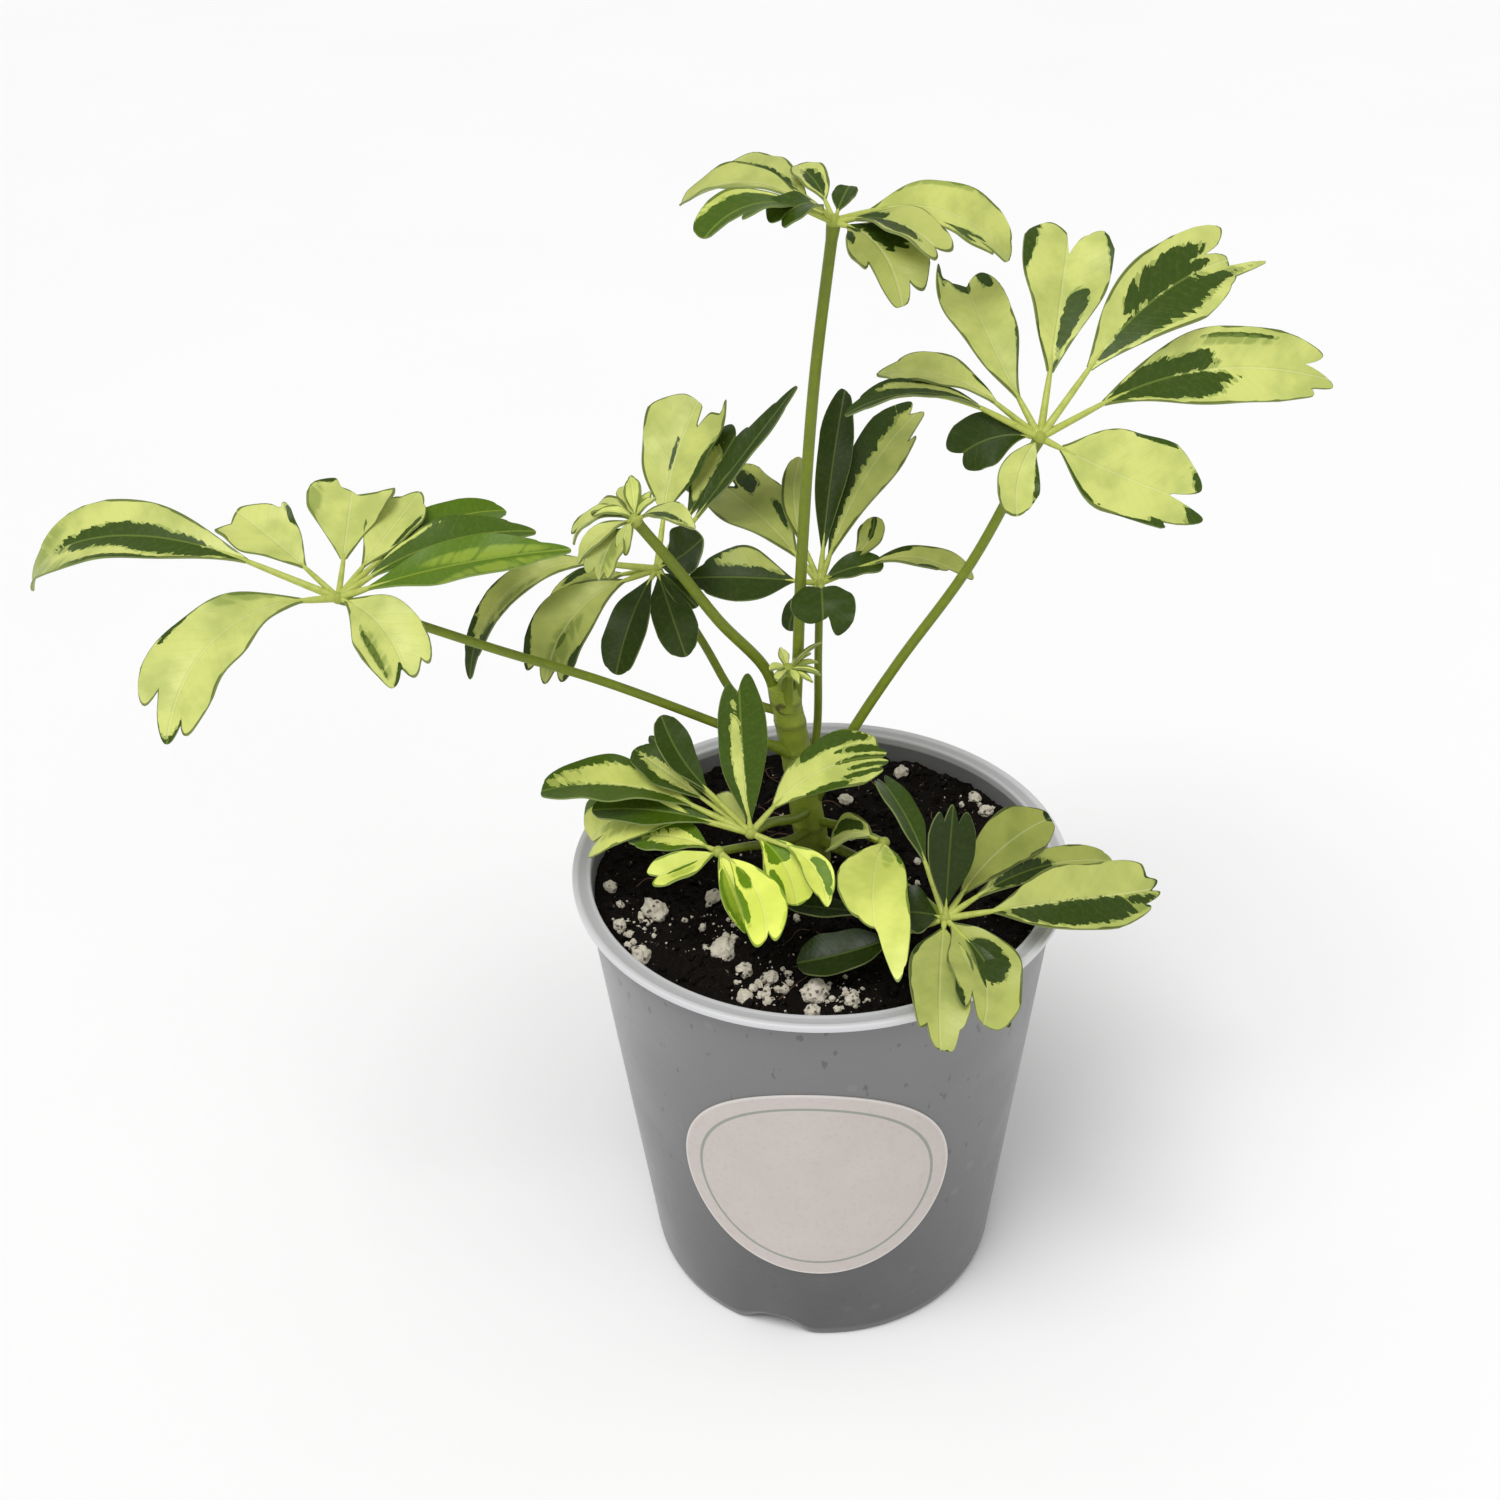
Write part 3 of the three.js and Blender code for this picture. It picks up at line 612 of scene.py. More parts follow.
trunk_steps = 64
trunk_heights = [
    TRUNK_FOOT + (TRUNK_TOP - TRUNK_FOOT) * i / trunk_steps for i in range(trunk_steps + 1)
]
trunk = turned(
    "trunk_stem",
    [(0.6 * MM, TRUNK_FOOT - 0.1 * MM)]
    + [(trunk_radius(z), z) for z in trunk_heights]
    + [(2.6 * MM, TRUNK_TOP + 0.5 * MM), (0.8 * MM, TRUNK_TOP + 0.9 * MM)],
    28,
)
for vertex in trunk.data.vertices:
    knobbly = noise.noise(vertex.co / MM * 0.35) * 0.2 * MM
    out = Vector((vertex.co.x, vertex.co.y, 0)).normalized()
    vertex.co += out * knobbly
    vertex.co += trunk_centre(vertex.co.z) - Vector((0, 0, vertex.co.z))
smooth_by_angle(trunk, 50)

bark = Finish("green_trunk_skin", 300.0)
height = put("SeparateXYZ", {0: bark.place}).outputs["Z"]
colour = mixed(bark.patches, tint(116, 136, 26), tint(160, 172, 56))
colour = mixed(ramp(height, 0.13, 0.112, 0.0, 0.8), colour, tint(92, 98, 38))
for scar in TRUNK_SCARS:
    near = sums("ABSOLUTE", sums("SUBTRACT", height, scar))
    colour = mixed(ramp(near, 0.0009, 0.0003, 0.0, 0.4), colour, tint(84, 84, 34))
# the brown scar of the last leaf that dropped, near the top of the trunk's front
knot = put("VectorMath", {0: bark.place, 1: KNOT_PLACE}, operation="DISTANCE").outputs["Value"]
knot = sums("MULTIPLY_ADD", bark.patches, 0.0012, knot)
colour = mixed(ramp(knot, 0.0026, 0.0019, 0.0, 0.8), colour, tint(74, 66, 26))
colour = mixed(ramp(knot, 0.0014, 0.0011, 0.0, 0.7), colour, tint(126, 128, 58))
colour = mixed(sums("MULTIPLY", bark.specks, 0.6), colour, tint(176, 168, 116))
relief = sums("ADD", bark.patches, bark.speckle)
bark.coat(colour, bark.patches, (0.45, 0.65), relief, 0.0003, 0.6)
trunk.data.materials.append(bark.material)
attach(trunk, "root")
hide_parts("trunk")

# ---- Leaves -------------------------------------------------------------------------------
# Each leaf is one long round stalk with a fan of leaflets at its end, every one on a thin stalk of
# its own. The blades are waxy and cream-green, splashed with dark green along the midrib or at an
# edge, cupped along the midrib and cut into lobes at the tip. Each splash keeps to its side veins.

BLADE_THICK = 0.42
CUP = 0.28  # how far a blade's edges stand above its midrib, per mm of half width
BLADE_LINES = 34
BLADE_ROWS = 30
MIDRIB_STEPS = 24
VEIN_SPACING = 2.6
EDGE_WOBBLE = 0.05  # of the width
RIPPLE = 0.075  # of the half width, at the edge
NARROWEST = 0.35
STALK_TAPER = 0.3
RIB_THICK = 0.62  # the midrib's radius, as a share of the stalk's
RIB_DROP = 0.32
RIB_END = 0.94  # of the blade's length

# The cut of a blade's tip: how much of the length each of a few lines along the blade reaches,
# from its clockwise edge to its anticlockwise one, seen from above. Where the lines aren't evenly
# spread, each is given with its place across, from -1 to 1.
ROUND = (0.72, 0.95, 1, 0.95, 0.72)
POINTED = (0.55, 0.85, 1, 0.85, 0.55)
NOTCHED = (0.78, 0.99, 0.85, 0.97, 0.76)
TWIN = ((-1, 0.62), (-0.4, 0.88), (0.1, 0.8), (0.2, 0.74), (0.6, 1.12), (1, 0.84))
TOOTHED = (0.74, 0.93, 0.8, 1, 0.83, 0.95, 0.76)
HOOKED = (0.5, 0.66, 0.76, 1, 0.88)
HORNED = ((-1, 0.7), (-0.5, 1), (0.05, 0.9), (0.5, 0.93), (0.82, 0.96), (1, 1.1))
SPLIT = ((-1, 0.86), (-0.85, 1), (-0.45, 0.96), (0, 0.78), (0.08, 0.96), (0.5, 1), (1, 0.82))
TAILED = (
    (-1, 0.6), (-0.7, 0.84), (-0.5, 0.92), (-0.36, 1.18), (-0.26, 1.12), (-0.16, 0.93),
    (0.1, 0.95), (0.32, 0.83), (0.5, 0.93), (0.75, 0.96), (1, 0.7),
)
BEAKED = (
    (-1, 0.78), (-0.7, 0.95), (-0.5, 0.93), (-0.28, 1.04), (0.22, 0.9), (0.6, 0.97), (1, 0.78),
)
SLOTTED = (
    (-1, 0.5), (-0.82, 0.8), (-0.7, 0.75), (-0.35, 1.03), (0.05, 0.73), (0.4, 0.97), (1, 0.7),
)
DRAPED = (
    (-1, 0.64), (-0.84, 0.8), (-0.62, 0.68), (-0.3, 0.98), (0.1, 1.02), (0.5, 0.98), (1, 0.84),
)
FINGERED = (
    (-1, 0.5), (-0.8, 0.64), (-0.6, 0.54), (-0.15, 1.02), (0.15, 1), (0.35, 0.82), (0.65, 0.92),
    (1, 0.62),
)
RAGGED = (
    (-1, 0.72), (-0.5, 0.98), (-0.2, 1), (0.15, 0.96), (0.32, 0.6), (0.45, 0.6), (0.72, 0.74),
    (1, 0.64),
)
THREE_LOBED = (
    (-1, 0.74), (-0.66, 0.88), (-0.45, 0.78), (-0.02, 1.03), (0.3, 0.92), (0.5, 0.98), (1, 0.76),
)
TWO_LOBED = (
    (-1, 0.68), (-0.55, 1), (-0.1, 0.83), (0.2, 0.95), (0.5, 0.82), (0.68, 0.88), (1, 0.6),
)
WINGED = ((-1, 0.86), (-0.6, 0.84), (-0.1, 0.84), (0.3, 0.93), (0.62, 1.04), (1, 0.8))
CORNERED = ((-1, 0.62), (-0.84, 0.73), (-0.7, 0.68), (-0.1, 1.07), (0.5, 0.94), (1, 0.97))
ROUNDED = ((-1, 0.7), (-0.4, 0.97), (0.15, 1), (1, 0.72))
BLUNT = ((-1, 0.84), (-0.5, 1), (0.15, 0.95), (0.3, 0.72), (0.6, 1.02), (1, 0.8))
ONE_TOOTH = (
    (-1, 0.6), (-0.85, 0.78), (-0.7, 0.71), (-0.3, 0.98), (0.1, 0.92), (0.5, 1), (1, 0.78),
)
SPIKY = ((-1, 0.78), (-0.5, 0.95), (-0.2, 0.76), (0.3, 0.9), (0.45, 0.84), (0.75, 1), (1, 1.04))
EARED = (
    (-1, 1.07), (-0.86, 0.94), (-0.55, 0.94), (-0.22, 0.72), (-0.12, 0.98), (0.4, 1.02), (1, 0.8),
)
STEPPED = ((-1, 0.76), (-0.4, 1), (0.15, 0.85), (0.5, 0.93), (1, 0.68))
SERRATED = (
    (-1, 0.7), (-0.62, 0.92), (-0.5, 0.88), (-0.2, 1), (-0.08, 0.94), (0.2, 1), (0.34, 0.94),
    (0.7, 0.93), (1, 0.72),
)
LOBE_AND_TAIL = ((-1, 0.5), (-0.5, 0.64), (0, 0.7), (0.35, 1.02), (0.62, 0.95), (1, 0.6))
HANGING = ((-1, 0.6), (-0.75, 0.86), (-0.5, 0.83), (-0.1, 1), (0.35, 1.02), (0.6, 0.86), (1, 0.7))
MOUTHED = ((-1, 0.75), (-0.7, 0.92), (-0.45, 0.72), (-0.1, 0.98), (0.4, 1.02), (1, 0.8))

PALE, DARK = -1, 1
FAINT = "faint"  # a splash that is only a shade between the two colours


def heading(turn, lift):
    """The direction of a leaflet in its leaf's own frame, where +Z is the leaf's axis."""
    turn, lift = math.radians(turn), math.radians(lift)
    level = math.cos(lift)
    return Vector((level * math.cos(turn), level * math.sin(turn), math.sin(lift)))


def fullness(t, peak):
    """Width of a blade along its length, as a share of its widest, which is at the peak."""
    rise = math.sin(math.pi / 2 * min(1, t / peak))
    fall = max(0.0, t - peak) / (1 - peak)
    return 0.07 + 0.93 * rise ** 1.15 - 0.14 * fall * fall


def reach_at(cut, s):
    """How far the line at s reaches: rounded lobes, with sharp notches between them."""
    if not isinstance(cut[0], tuple):
        cut = [(2 * i / (len(cut) - 1) - 1, reach) for i, reach in enumerate(cut)]
    for (left, low), (right, high) in zip(cut, cut[1:]):
        if s <= right:
            break
    share = min(1.0, max(0.0, (s - left) / (right - left)))
    if low > high:
        low, high, share = high, low, 1 - share
    return low + (high - low) * math.sin(math.pi / 2 * share) ** 0.75


def inside(s, r, splash):
    """Above 0 inside a splash, up to 1 in its middle."""
    middle, start, end, breadth = splash[:4]
    along = (2 * r - start - end) / (end - start)
    return 1 - abs(along) ** 2.4 - abs((s - middle) / breadth) ** 2.4


blank = grid("blade_blank", BLADE_LINES, BLADE_ROWS)


def grown(frame_of_leaf, draw, shape, cut, peak, ground, tone_and_painted_light, *splashes):
    """One blade, bent from the flat blank, with its stalk's path. Lengths in millimetres."""
    turn, lift, stalk, length, width, droop, sweep, roll, curl = (*shape, 0, 0)[:9]

    def turn_at(t):
        return turn + sweep * t

    def lift_at(t):
        return lift - droop * t - curl * t ** 4

    midrib = [heading(turn, lift) * stalk]
    for i in range(MIDRIB_STEPS):
        t = (i + 0.5) / MIDRIB_STEPS
        midrib.append(midrib[i] + heading(turn_at(t), lift_at(t)) * (length / MIDRIB_STEPS))

    def on_midrib(t):
        step = min(MIDRIB_STEPS - 1, int(t * MIDRIB_STEPS))
        return midrib[step].lerp(midrib[step + 1], t * MIDRIB_STEPS - step)

    def axes_at(t):
        along = heading(turn_at(t), lift_at(t))
        across = Matrix.Rotation(math.radians(roll), 3, along) @ heading(turn_at(t) + 90, 0)
        return across, along.cross(across)

    blade = blank.copy()
    blade.data = blank.data.copy()
    bpy.context.collection.objects.link(blade)
    waves = [draw.uniform(0, math.tau) for i in range(4)]
    wave_count = draw.uniform(1.6, 2.6)
    shift = draw.uniform(-0.08, 0.08)
    count = len(blade.data.vertices)
    splash, shade, rim, painted_light_values = ([value] * count for value in (0.0, 0.0, 0.0, tone_and_painted_light))
    lay = [0.0] * (3 * count)
    seed = draw.uniform(0, 90)
    for i, vertex in enumerate(blade.data.vertices):
        s, r = vertex.co.x, (vertex.co.y + 1) / 2
        lobes = s + shift * (1 - s * s)
        reach = reach_at(cut, lobes)
        t = r * reach
        across, upward = axes_at(t)
        full = width * fullness(t, peak) / 2
        side = waves[0] if s > 0 else waves[1]
        half = max(NARROWEST, full * (1 + EDGE_WOBBLE * math.sin(9 * t + side)))
        ripple = math.sin(math.tau * wave_count * t + (waves[2] if s > 0 else waves[3]))
        height = CUP * abs(s) ** 1.3 * half + RIPPLE * full * ripple * s * s
        vertex.co = on_midrib(t) + across * s * half + upward * height
        vertex.co = frame_of_leaf @ vertex.co
        strong = [inside(s, r, one) for one in splashes if FAINT not in one]
        splash[i] = -ground * max([-1.0, *strong])
        shade[i] = max([0.0, *(inside(s, r, one) for one in splashes if FAINT in one)])
        rim[i] = min((1 - abs(s)) * half, (1 - r) * reach * length)
        lay[3 * i:3 * i + 3] = (s * half, t * length, seed)
    for title, values in (("splash", splash), ("shade", shade), ("rim", rim), ("tone_and_painted_light", painted_light_values)):
        blade.data.attributes.new(title, "FLOAT", "POINT").data.foreach_set("value", values)
    blade.data.attributes.new("lay", "FLOAT_VECTOR", "POINT").data.foreach_set("vector", lay)

    stout = 0.5 + 0.4 * min(1, length / 35)
    run = []
    for share in (0, 0.3, 0.7):
        run.append((frame_of_leaf @ (midrib[0] * share), stout * (1 - STALK_TAPER * share)))
    for step in range(0, MIDRIB_STEPS - 2, 2):
        t = step / MIDRIB_STEPS
        if t > RIB_END * reach_at(cut, shift):
            break
        drop = axes_at(t)[1] * (-RIB_DROP * min(1, t * 8))
        thick = stout * RIB_THICK * (1 - t) ** 0.8
        run.append((frame_of_leaf @ (midrib[step] + drop), max(0.1, thick)))
    return blade, run


def toned(piece, tone_and_painted_light):
    """Gives a whole piece one tone."""
    count = len(piece.data.vertices)
    piece.data.attributes.new("tone_and_painted_light", "FLOAT", "POINT").data.foreach_set("value", [tone_and_painted_light] * count)


def leaf_colour(tone_and_painted_light, shaded, plain, sunlit):
    """A colour that follows the painted light: shaded, in plain light, sunlit."""
    band = put("ValToRGB", {"Fac": tone_and_painted_light})
    band.color_ramp.elements[0].color = shaded
    band.color_ramp.elements[1].color = sunlit
    band.color_ramp.elements.new(0.5).color = plain
    return band.outputs["Color"]


def blade_finish(name, underside):
    """Waxy skin in cream and green, by the blade's splashes; an underside is duller and paler."""
    wax = Finish(name, 0.09, "lay")
    lay, splash, shade, rim, tone_and_painted_light = (
        wax.place, *(wax.painted(title) for title in ("splash", "shade", "rim", "tone_and_painted_light"))
    )
    parts = put("SeparateXYZ", {0: lay}).outputs
    side = sums("ABSOLUTE", parts["X"])
    forward = sums("MULTIPLY_ADD", side, -0.75, parts["Y"])
    which = sums("MULTIPLY_ADD", sums("SIGN", parts["X"]), 11.0, parts["Z"])
    out, on = sums("MULTIPLY", side, 0.16), sums("MULTIPLY", forward, 0.55)
    along_veins = put("CombineXYZ", {0: out, 1: on, 2: which}).outputs[0]
    streaks = cloud(along_veins, 1.0, 2.0, 0.5)
    other = cloud(along_veins, 1.7, 2.0, 0.5)
    fine = cloud(lay, 0.9, 2.0)
    # painted light: each blade's pale, green and between colours come as shaded, plain and sunlit
    # copies, picked by its painted light
    pale = leaf_colour(tone_and_painted_light, tint(140, 148, 66), tint(208, 215, 122), tint(240, 248, 112))
    green = leaf_colour(tone_and_painted_light, tint(24, 38, 2), tint(54, 76, 10), tint(98, 134, 12))
    between = leaf_colour(tone_and_painted_light, tint(80, 96, 34), tint(124, 144, 62), tint(172, 194, 56))
    pale = mixed(ramp(wax.patches, 0.35, 0.7, 0.0, 0.42), pale, between)
    green = mixed(ramp(fine, 0.45, 0.7, 0.0, 0.08), green, between)
    rough_edge = sums("MULTIPLY_ADD", sums("SUBTRACT", streaks, 0.5), 2.6, splash)
    rough_edge = sums("MULTIPLY_ADD", sums("SUBTRACT", fine, 0.5), 0.6, rough_edge)
    wider_edge = sums("MULTIPLY_ADD", sums("SUBTRACT", other, 0.5), 2.0, splash)
    colour = mixed(ramp(wider_edge, -0.26, -0.2, 0.0, 0.6), pale, between)
    # thin green dashes along the margin of the pale blades
    dash_width = ramp(cloud(lay, 0.16, 1.0), 0.4, 0.6, 0.12, 0.6)
    dashes = ramp(sums("SUBTRACT", dash_width, rim), 0.0, 0.12, 0.0, 0.8)
    colour = mixed(dashes, colour, green)
    in_splash = ramp(rough_edge, -0.03, 0.03)
    colour = mixed(in_splash, colour, green)
    patchy = sums("MULTIPLY", shade, ramp(streaks, 0.3, 0.6, 0.3, 1.0))
    colour = mixed(ramp(patchy, 0.05, 0.7, 0.0, 0.62), colour, between)
    # the side veins and the pale midrib
    beat = sums("MULTIPLY_ADD", fine, 0.35, sums("DIVIDE", forward, VEIN_SPACING))
    vein = ramp(sums("PINGPONG", beat, 0.5), 0.09, 0.0)
    colour = mixed(sums("MULTIPLY", vein, 0.06), colour, between)
    midrib = ramp(side, 0.42, 0.16)
    rib_colour = mixed(in_splash, mixed(0.3, pale, tint(240, 242, 190)), between)
    colour = mixed(sums("MULTIPLY", midrib, 0.45), colour, rib_colour)
    if underside:
        colour = mixed(0.35, colour, tint(176, 190, 122))
    relief = sums("MULTIPLY_ADD", midrib, -0.8, sums("MULTIPLY", vein, -0.12))
    relief = sums("MULTIPLY_ADD", fine, 0.35, relief)
    roughness = (0.5, 0.65) if underside else (0.32, 0.48)
    wax.coat(colour, wax.patches, roughness, relief, 0.0003, 0.5)
    wax.shader["Specular IOR Level"].default_value = 0.22
    return wax.material


blade_top = blade_finish("variegated_blade", False)
blade_under = blade_finish("variegated_blade_underside", True)

stalk_skin = Finish("green_stalk_skin", 500.0)
colour = mixed(stalk_skin.painted("tone_and_painted_light"), tint(94, 112, 6), tint(204, 212, 108))
colour = mixed(ramp(stalk_skin.patches, 0.35, 0.75, 0.0, 0.4), colour, tint(134, 150, 22))
colour = mixed(sums("MULTIPLY", stalk_skin.specks, 0.4), colour, tint(92, 100, 48))
stalk_skin.coat(colour, stalk_skin.patches, (0.35, 0.5), stalk_skin.patches, 0.0002, 0.5)
stalk_skin.shader["Specular IOR Level"].default_value = 0.3


seeds = iter(range(100, 200))  # one for each leaf


def grow_leaf(node, hub, tilt, toward, radius, petiole, leaflets):
    """One whole leaf: its blades, its long stalk, the small stalks and the knot they meet in."""
    draw = random.Random(next(seeds))
    hub = Vector(hub)
    lean = Matrix.Rotation(math.radians(tilt), 4, heading(toward + 90, 0))
    frame_of_leaf = Matrix.Translation(hub) @ lean
    blades, runs = zip(*(grown(frame_of_leaf, draw, *leaflet) for leaflet in leaflets))
    piece = joined(blades, node.replace("leaf_", "") + "_leaf")
    for material in (blade_under, blade_top, stalk_skin.material):
        piece.data.materials.append(material)
    thicken = piece.modifiers.new("thicken", "SOLIDIFY")
    thicken.thickness = BLADE_THICK
    thicken.offset = 0
    thicken.material_offset = 1
    bpy.ops.object.modifier_apply(modifier=thicken.name)

    path = smooth_run([*petiole, hub])
    run = []
    for i, at in enumerate(path):
        share = i / (len(path) - 1)
        swell = 0.6 * max(0, 1 - share / 0.12) + 0.3 * max(0, share - 0.97) / 0.03
        run.append((at, radius * (1.15 - 0.15 * share + swell)))
    stem = rods("petiole", [run], 5)
    toned(stem, 0.1)
    stalks = rods("leaflet_stalks", runs)
    toned(stalks, 0.75)
    choose()
    bpy.ops.mesh.primitive_ico_sphere_add(subdivisions=3, radius=radius * 1.35, location=hub)
    knot = bpy.context.object
    bpy.ops.object.transform_apply(location=True)
    toned(knot, 0.5)
    for part in (stem, stalks, knot):
        part.data.materials.append(stalk_skin.material)
    piece = joined([piece, stem, stalks, knot], piece.name)
    piece.data.transform(Matrix.Scale(MM, 4))
    smooth_by_angle(piece, 50)
    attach(piece, "root")
    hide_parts(node)


# Each leaf: hub, where its leaflets meet; the lean of its axis and toward where; its stalk's
# radius at the hub and path up to the hub. Each leaflet, in millimetres and degrees: turn, lift,
# stalk, length, width, droop, sweep and, for some, roll and curl, as the solids have them; its
# cut; where along it the blade is widest; its ground colour; its painted light, from shaded 0
# to sunlit 1; and its splashes of the other colour: middle across, from the clockwise edge -1 to
# the other edge 1, start and end along the blade, and half breadth.
grow_leaf("leaf_top", hub=(4, 6, 276), tilt=8, toward=-90, radius=1.2, petiole=[
    (-5.5, 8, 150), (-4.6, 8, 168), (-3.2, 7, 200), (-0.3, 6.5, 240),
], leaflets=[
    ((140, 14, 9, 29, 12, 54, 28), ROUNDED, 0.6, PALE, 0.35,
     (-1.0, 0.1, 0.6, 0.1), (0.6, 0.3, 1.1, 0.6, FAINT)),
    ((122, 7, 10, 27, 11, 27, 12, 3), ROUND, 0.6, PALE, 0.4, (0.1, 0.1, 0.9, 0.42)),
    ((206, 33, 8, 28, 11, 50, 32), RAGGED, 0.55, DARK, 0.62, (-0.9, 0, 1, 0.22)),
    ((105, 18, 6, 13, 7, 19, 19), ROUND, 0.6, PALE, 0.4, (0, 0.1, 0.8, 0.6)),
    ((222, 50, 5, 14, 9, 92, 0), NOTCHED, 0.6, DARK, 0.5, (0, -0.1, 0.25, 0.7)),
    ((70, 19, 3, 8, 5, 18, 0), ROUND, 0.6, DARK, 0.4),
    ((314, 5, 4, 22, 16, 57, -30), FINGERED, 0.5, PALE, 0.25,
     (0.5, 0.1, 0.55, 0.4), (-0.9, 0.2, 0.5, 0.3), (0, -0.1, 0.15, 1)),
    ((331, 19, 5, 23, 10, 44, -27), NOTCHED, 0.55, PALE, 0.3,
     (-0.4, 0.15, 0.75, 0.4), (0, -0.2, 0.3, 0.9)),
    ((32, -3, 9, 39, 15, 51, -20, 31), DRAPED, 0.68, PALE, 0.55,
     (-0.66, 0.6, 0.84, 0.24), (-1.0, 0.2, 0.5, 0.1), (1, 0.1, 0.9, 0.2, FAINT)),
])
grow_leaf("leaf_right", hub=(47, 0, 230), tilt=45, toward=-80, radius=1.1, petiole=[
    (-2, 8, 130), (7.5, 6, 152), (18.5, 4, 173), (34, 2, 199.5),
], leaflets=[
    ((158, 6, 14, 30, 11, 22, 55, 50), POINTED, 0.6, DARK, 0.35, (-0.6, 0, 0.9, 0.2)),
    ((141, -4, 12, 28, 12, 35, 38, 30), POINTED, 0.6, PALE, 0.5, (-1, 0.1, 0.4, 0.25)),
    ((116, -4, 10, 33, 15, 21, -16), HORNED, 0.75, PALE, 0.5,
     (-0.55, 0.86, 1.1, 0.18), (-1.02, 0.1, 0.6, 0.14), (0.95, 0.9, 1.15, 0.25),
     (0.2, 0.92, 1.1, 0.3)),
    ((81, 0, 15, 35, 20, 9, 0), SPLIT, 0.85, PALE, 0.5,
     (-0.42, 0.13, 0.6, 0.3), (1, 0.72, 1.06, 0.28), (-1, 0.8, 1.05, 0.14),
     (-0.6, -0.1, 0.12, 0.3), (1.02, 0.1, 0.35, 0.1)),
    ((56, 12, 18, 46, 19, 33, -31), TAILED, 0.6, PALE, 0.5,
     (0.34, 0.36, 0.88, 0.38), (-0.38, 0.03, 0.84, 0.42), (-0.1, 1.0, 1.1, 0.3)),
    ((31, 3, 16, 51, 17, 6, -42), BEAKED, 0.55, PALE, 0.5,
     (0.32, 0.02, 0.34, 0.5), (0.28, 0.2, 0.55, 0.26), (-0.4, 0.02, 0.57, 0.42),
     (0.8, 0.5, 0.82, 0.06), (0.7, 0.42, 0.84, 0.17, FAINT)),
    ((334, 3, 5, 32, 20, 2, 10), SLOTTED, 0.4, PALE, 0.5,
     (0.5, 0.93, 1.1, 0.22), (-1, -0.1, 0.5, 0.14), (1.0, 0.55, 0.95, 0.1), (-0.35, 0.9, 1.1, 0.2),
     (-0.9, 0.85, 1.1, 0.2)),
    ((231, -4, 1, 17, 9, 18, 54), ROUND, 0.6, PALE, 0.5, (1, 0.3, 1.05, 0.24)),
    ((172, -9, 3, 16, 12, 24, 50), NOTCHED, 0.6, DARK, 0.25),
])
grow_leaf("leaf_left", hub=(-101, -20, 208), tilt=15, toward=-90, radius=1.0, petiole=[
    (-5, 6, 146.5), (-23, 3, 158), (-48, -4, 175), (-72, -12, 190),
], leaflets=[
    ((159, 12, 21, 61, 16.5, 42, 20, -10, 46), POINTED, 0.55, PALE, 0.5,
     (0.4, 0.0, 0.5, 0.42), (0.02, 0.15, 0.74, 0.4), (0.95, 0.5, 1.05, 0.16),
     (0.2, 0.76, 1.2, 1.2, FAINT)),
    ((135, 10, 11, 20, 17, 1, 6), CORNERED, 0.85, PALE, 0.5, (-0.98, 0.6, 1.0, 0.16)),
    ((88, 10, 10, 20, 19, 0, 0), WINGED, 0.9, PALE, 0.5,
     (0.7, 0.93, 1.1, 0.2), (0.9, 0.5, 1, 0.3, FAINT)),
    ((59, 9, 9, 23, 12, 6, 6), POINTED, 0.6, PALE, 0.5, (-0.8, 0.4, 0.9, 0.14)),
    ((50, 7, 12, 33, 9, 31, -25), ROUND, 0.5, DARK, 0.76, (-0.85, 0.05, 0.8, 0.22)),
    ((35, 10, 8, 37, 11, 21, -30), POINTED, 0.5, DARK, 0.62, (0.95, 0.1, 0.7, 0.16)),
    ((1, 20, 7, 44, 12, 18, 0), POINTED, 0.45, DARK, 0.8,
     (0.3, 0.25, 1, 0.3, FAINT), (-0.6, 0.5, 1.05, 0.5, FAINT)),
    ((328, 4, 2, 25, 15, 39, -44), TWO_LOBED, 0.55, PALE, 0.5,
     (-0.62, 0.36, 0.9, 0.1), (-0.2, 0.92, 1.1, 0.26), (-0.55, 0.3, 1.0, 0.26, FAINT)),
    ((207, 21, 8, 43, 18, 60, 52), THREE_LOBED, 0.6, PALE, 0.5,
     (-1.02, 0.08, 0.38, 0.16), (-1.02, 0.6, 0.8, 0.12), (0.1, 0.97, 1.1, 0.4),
     (-0.9, 0.0, 0.5, 0.4, FAINT)),
])
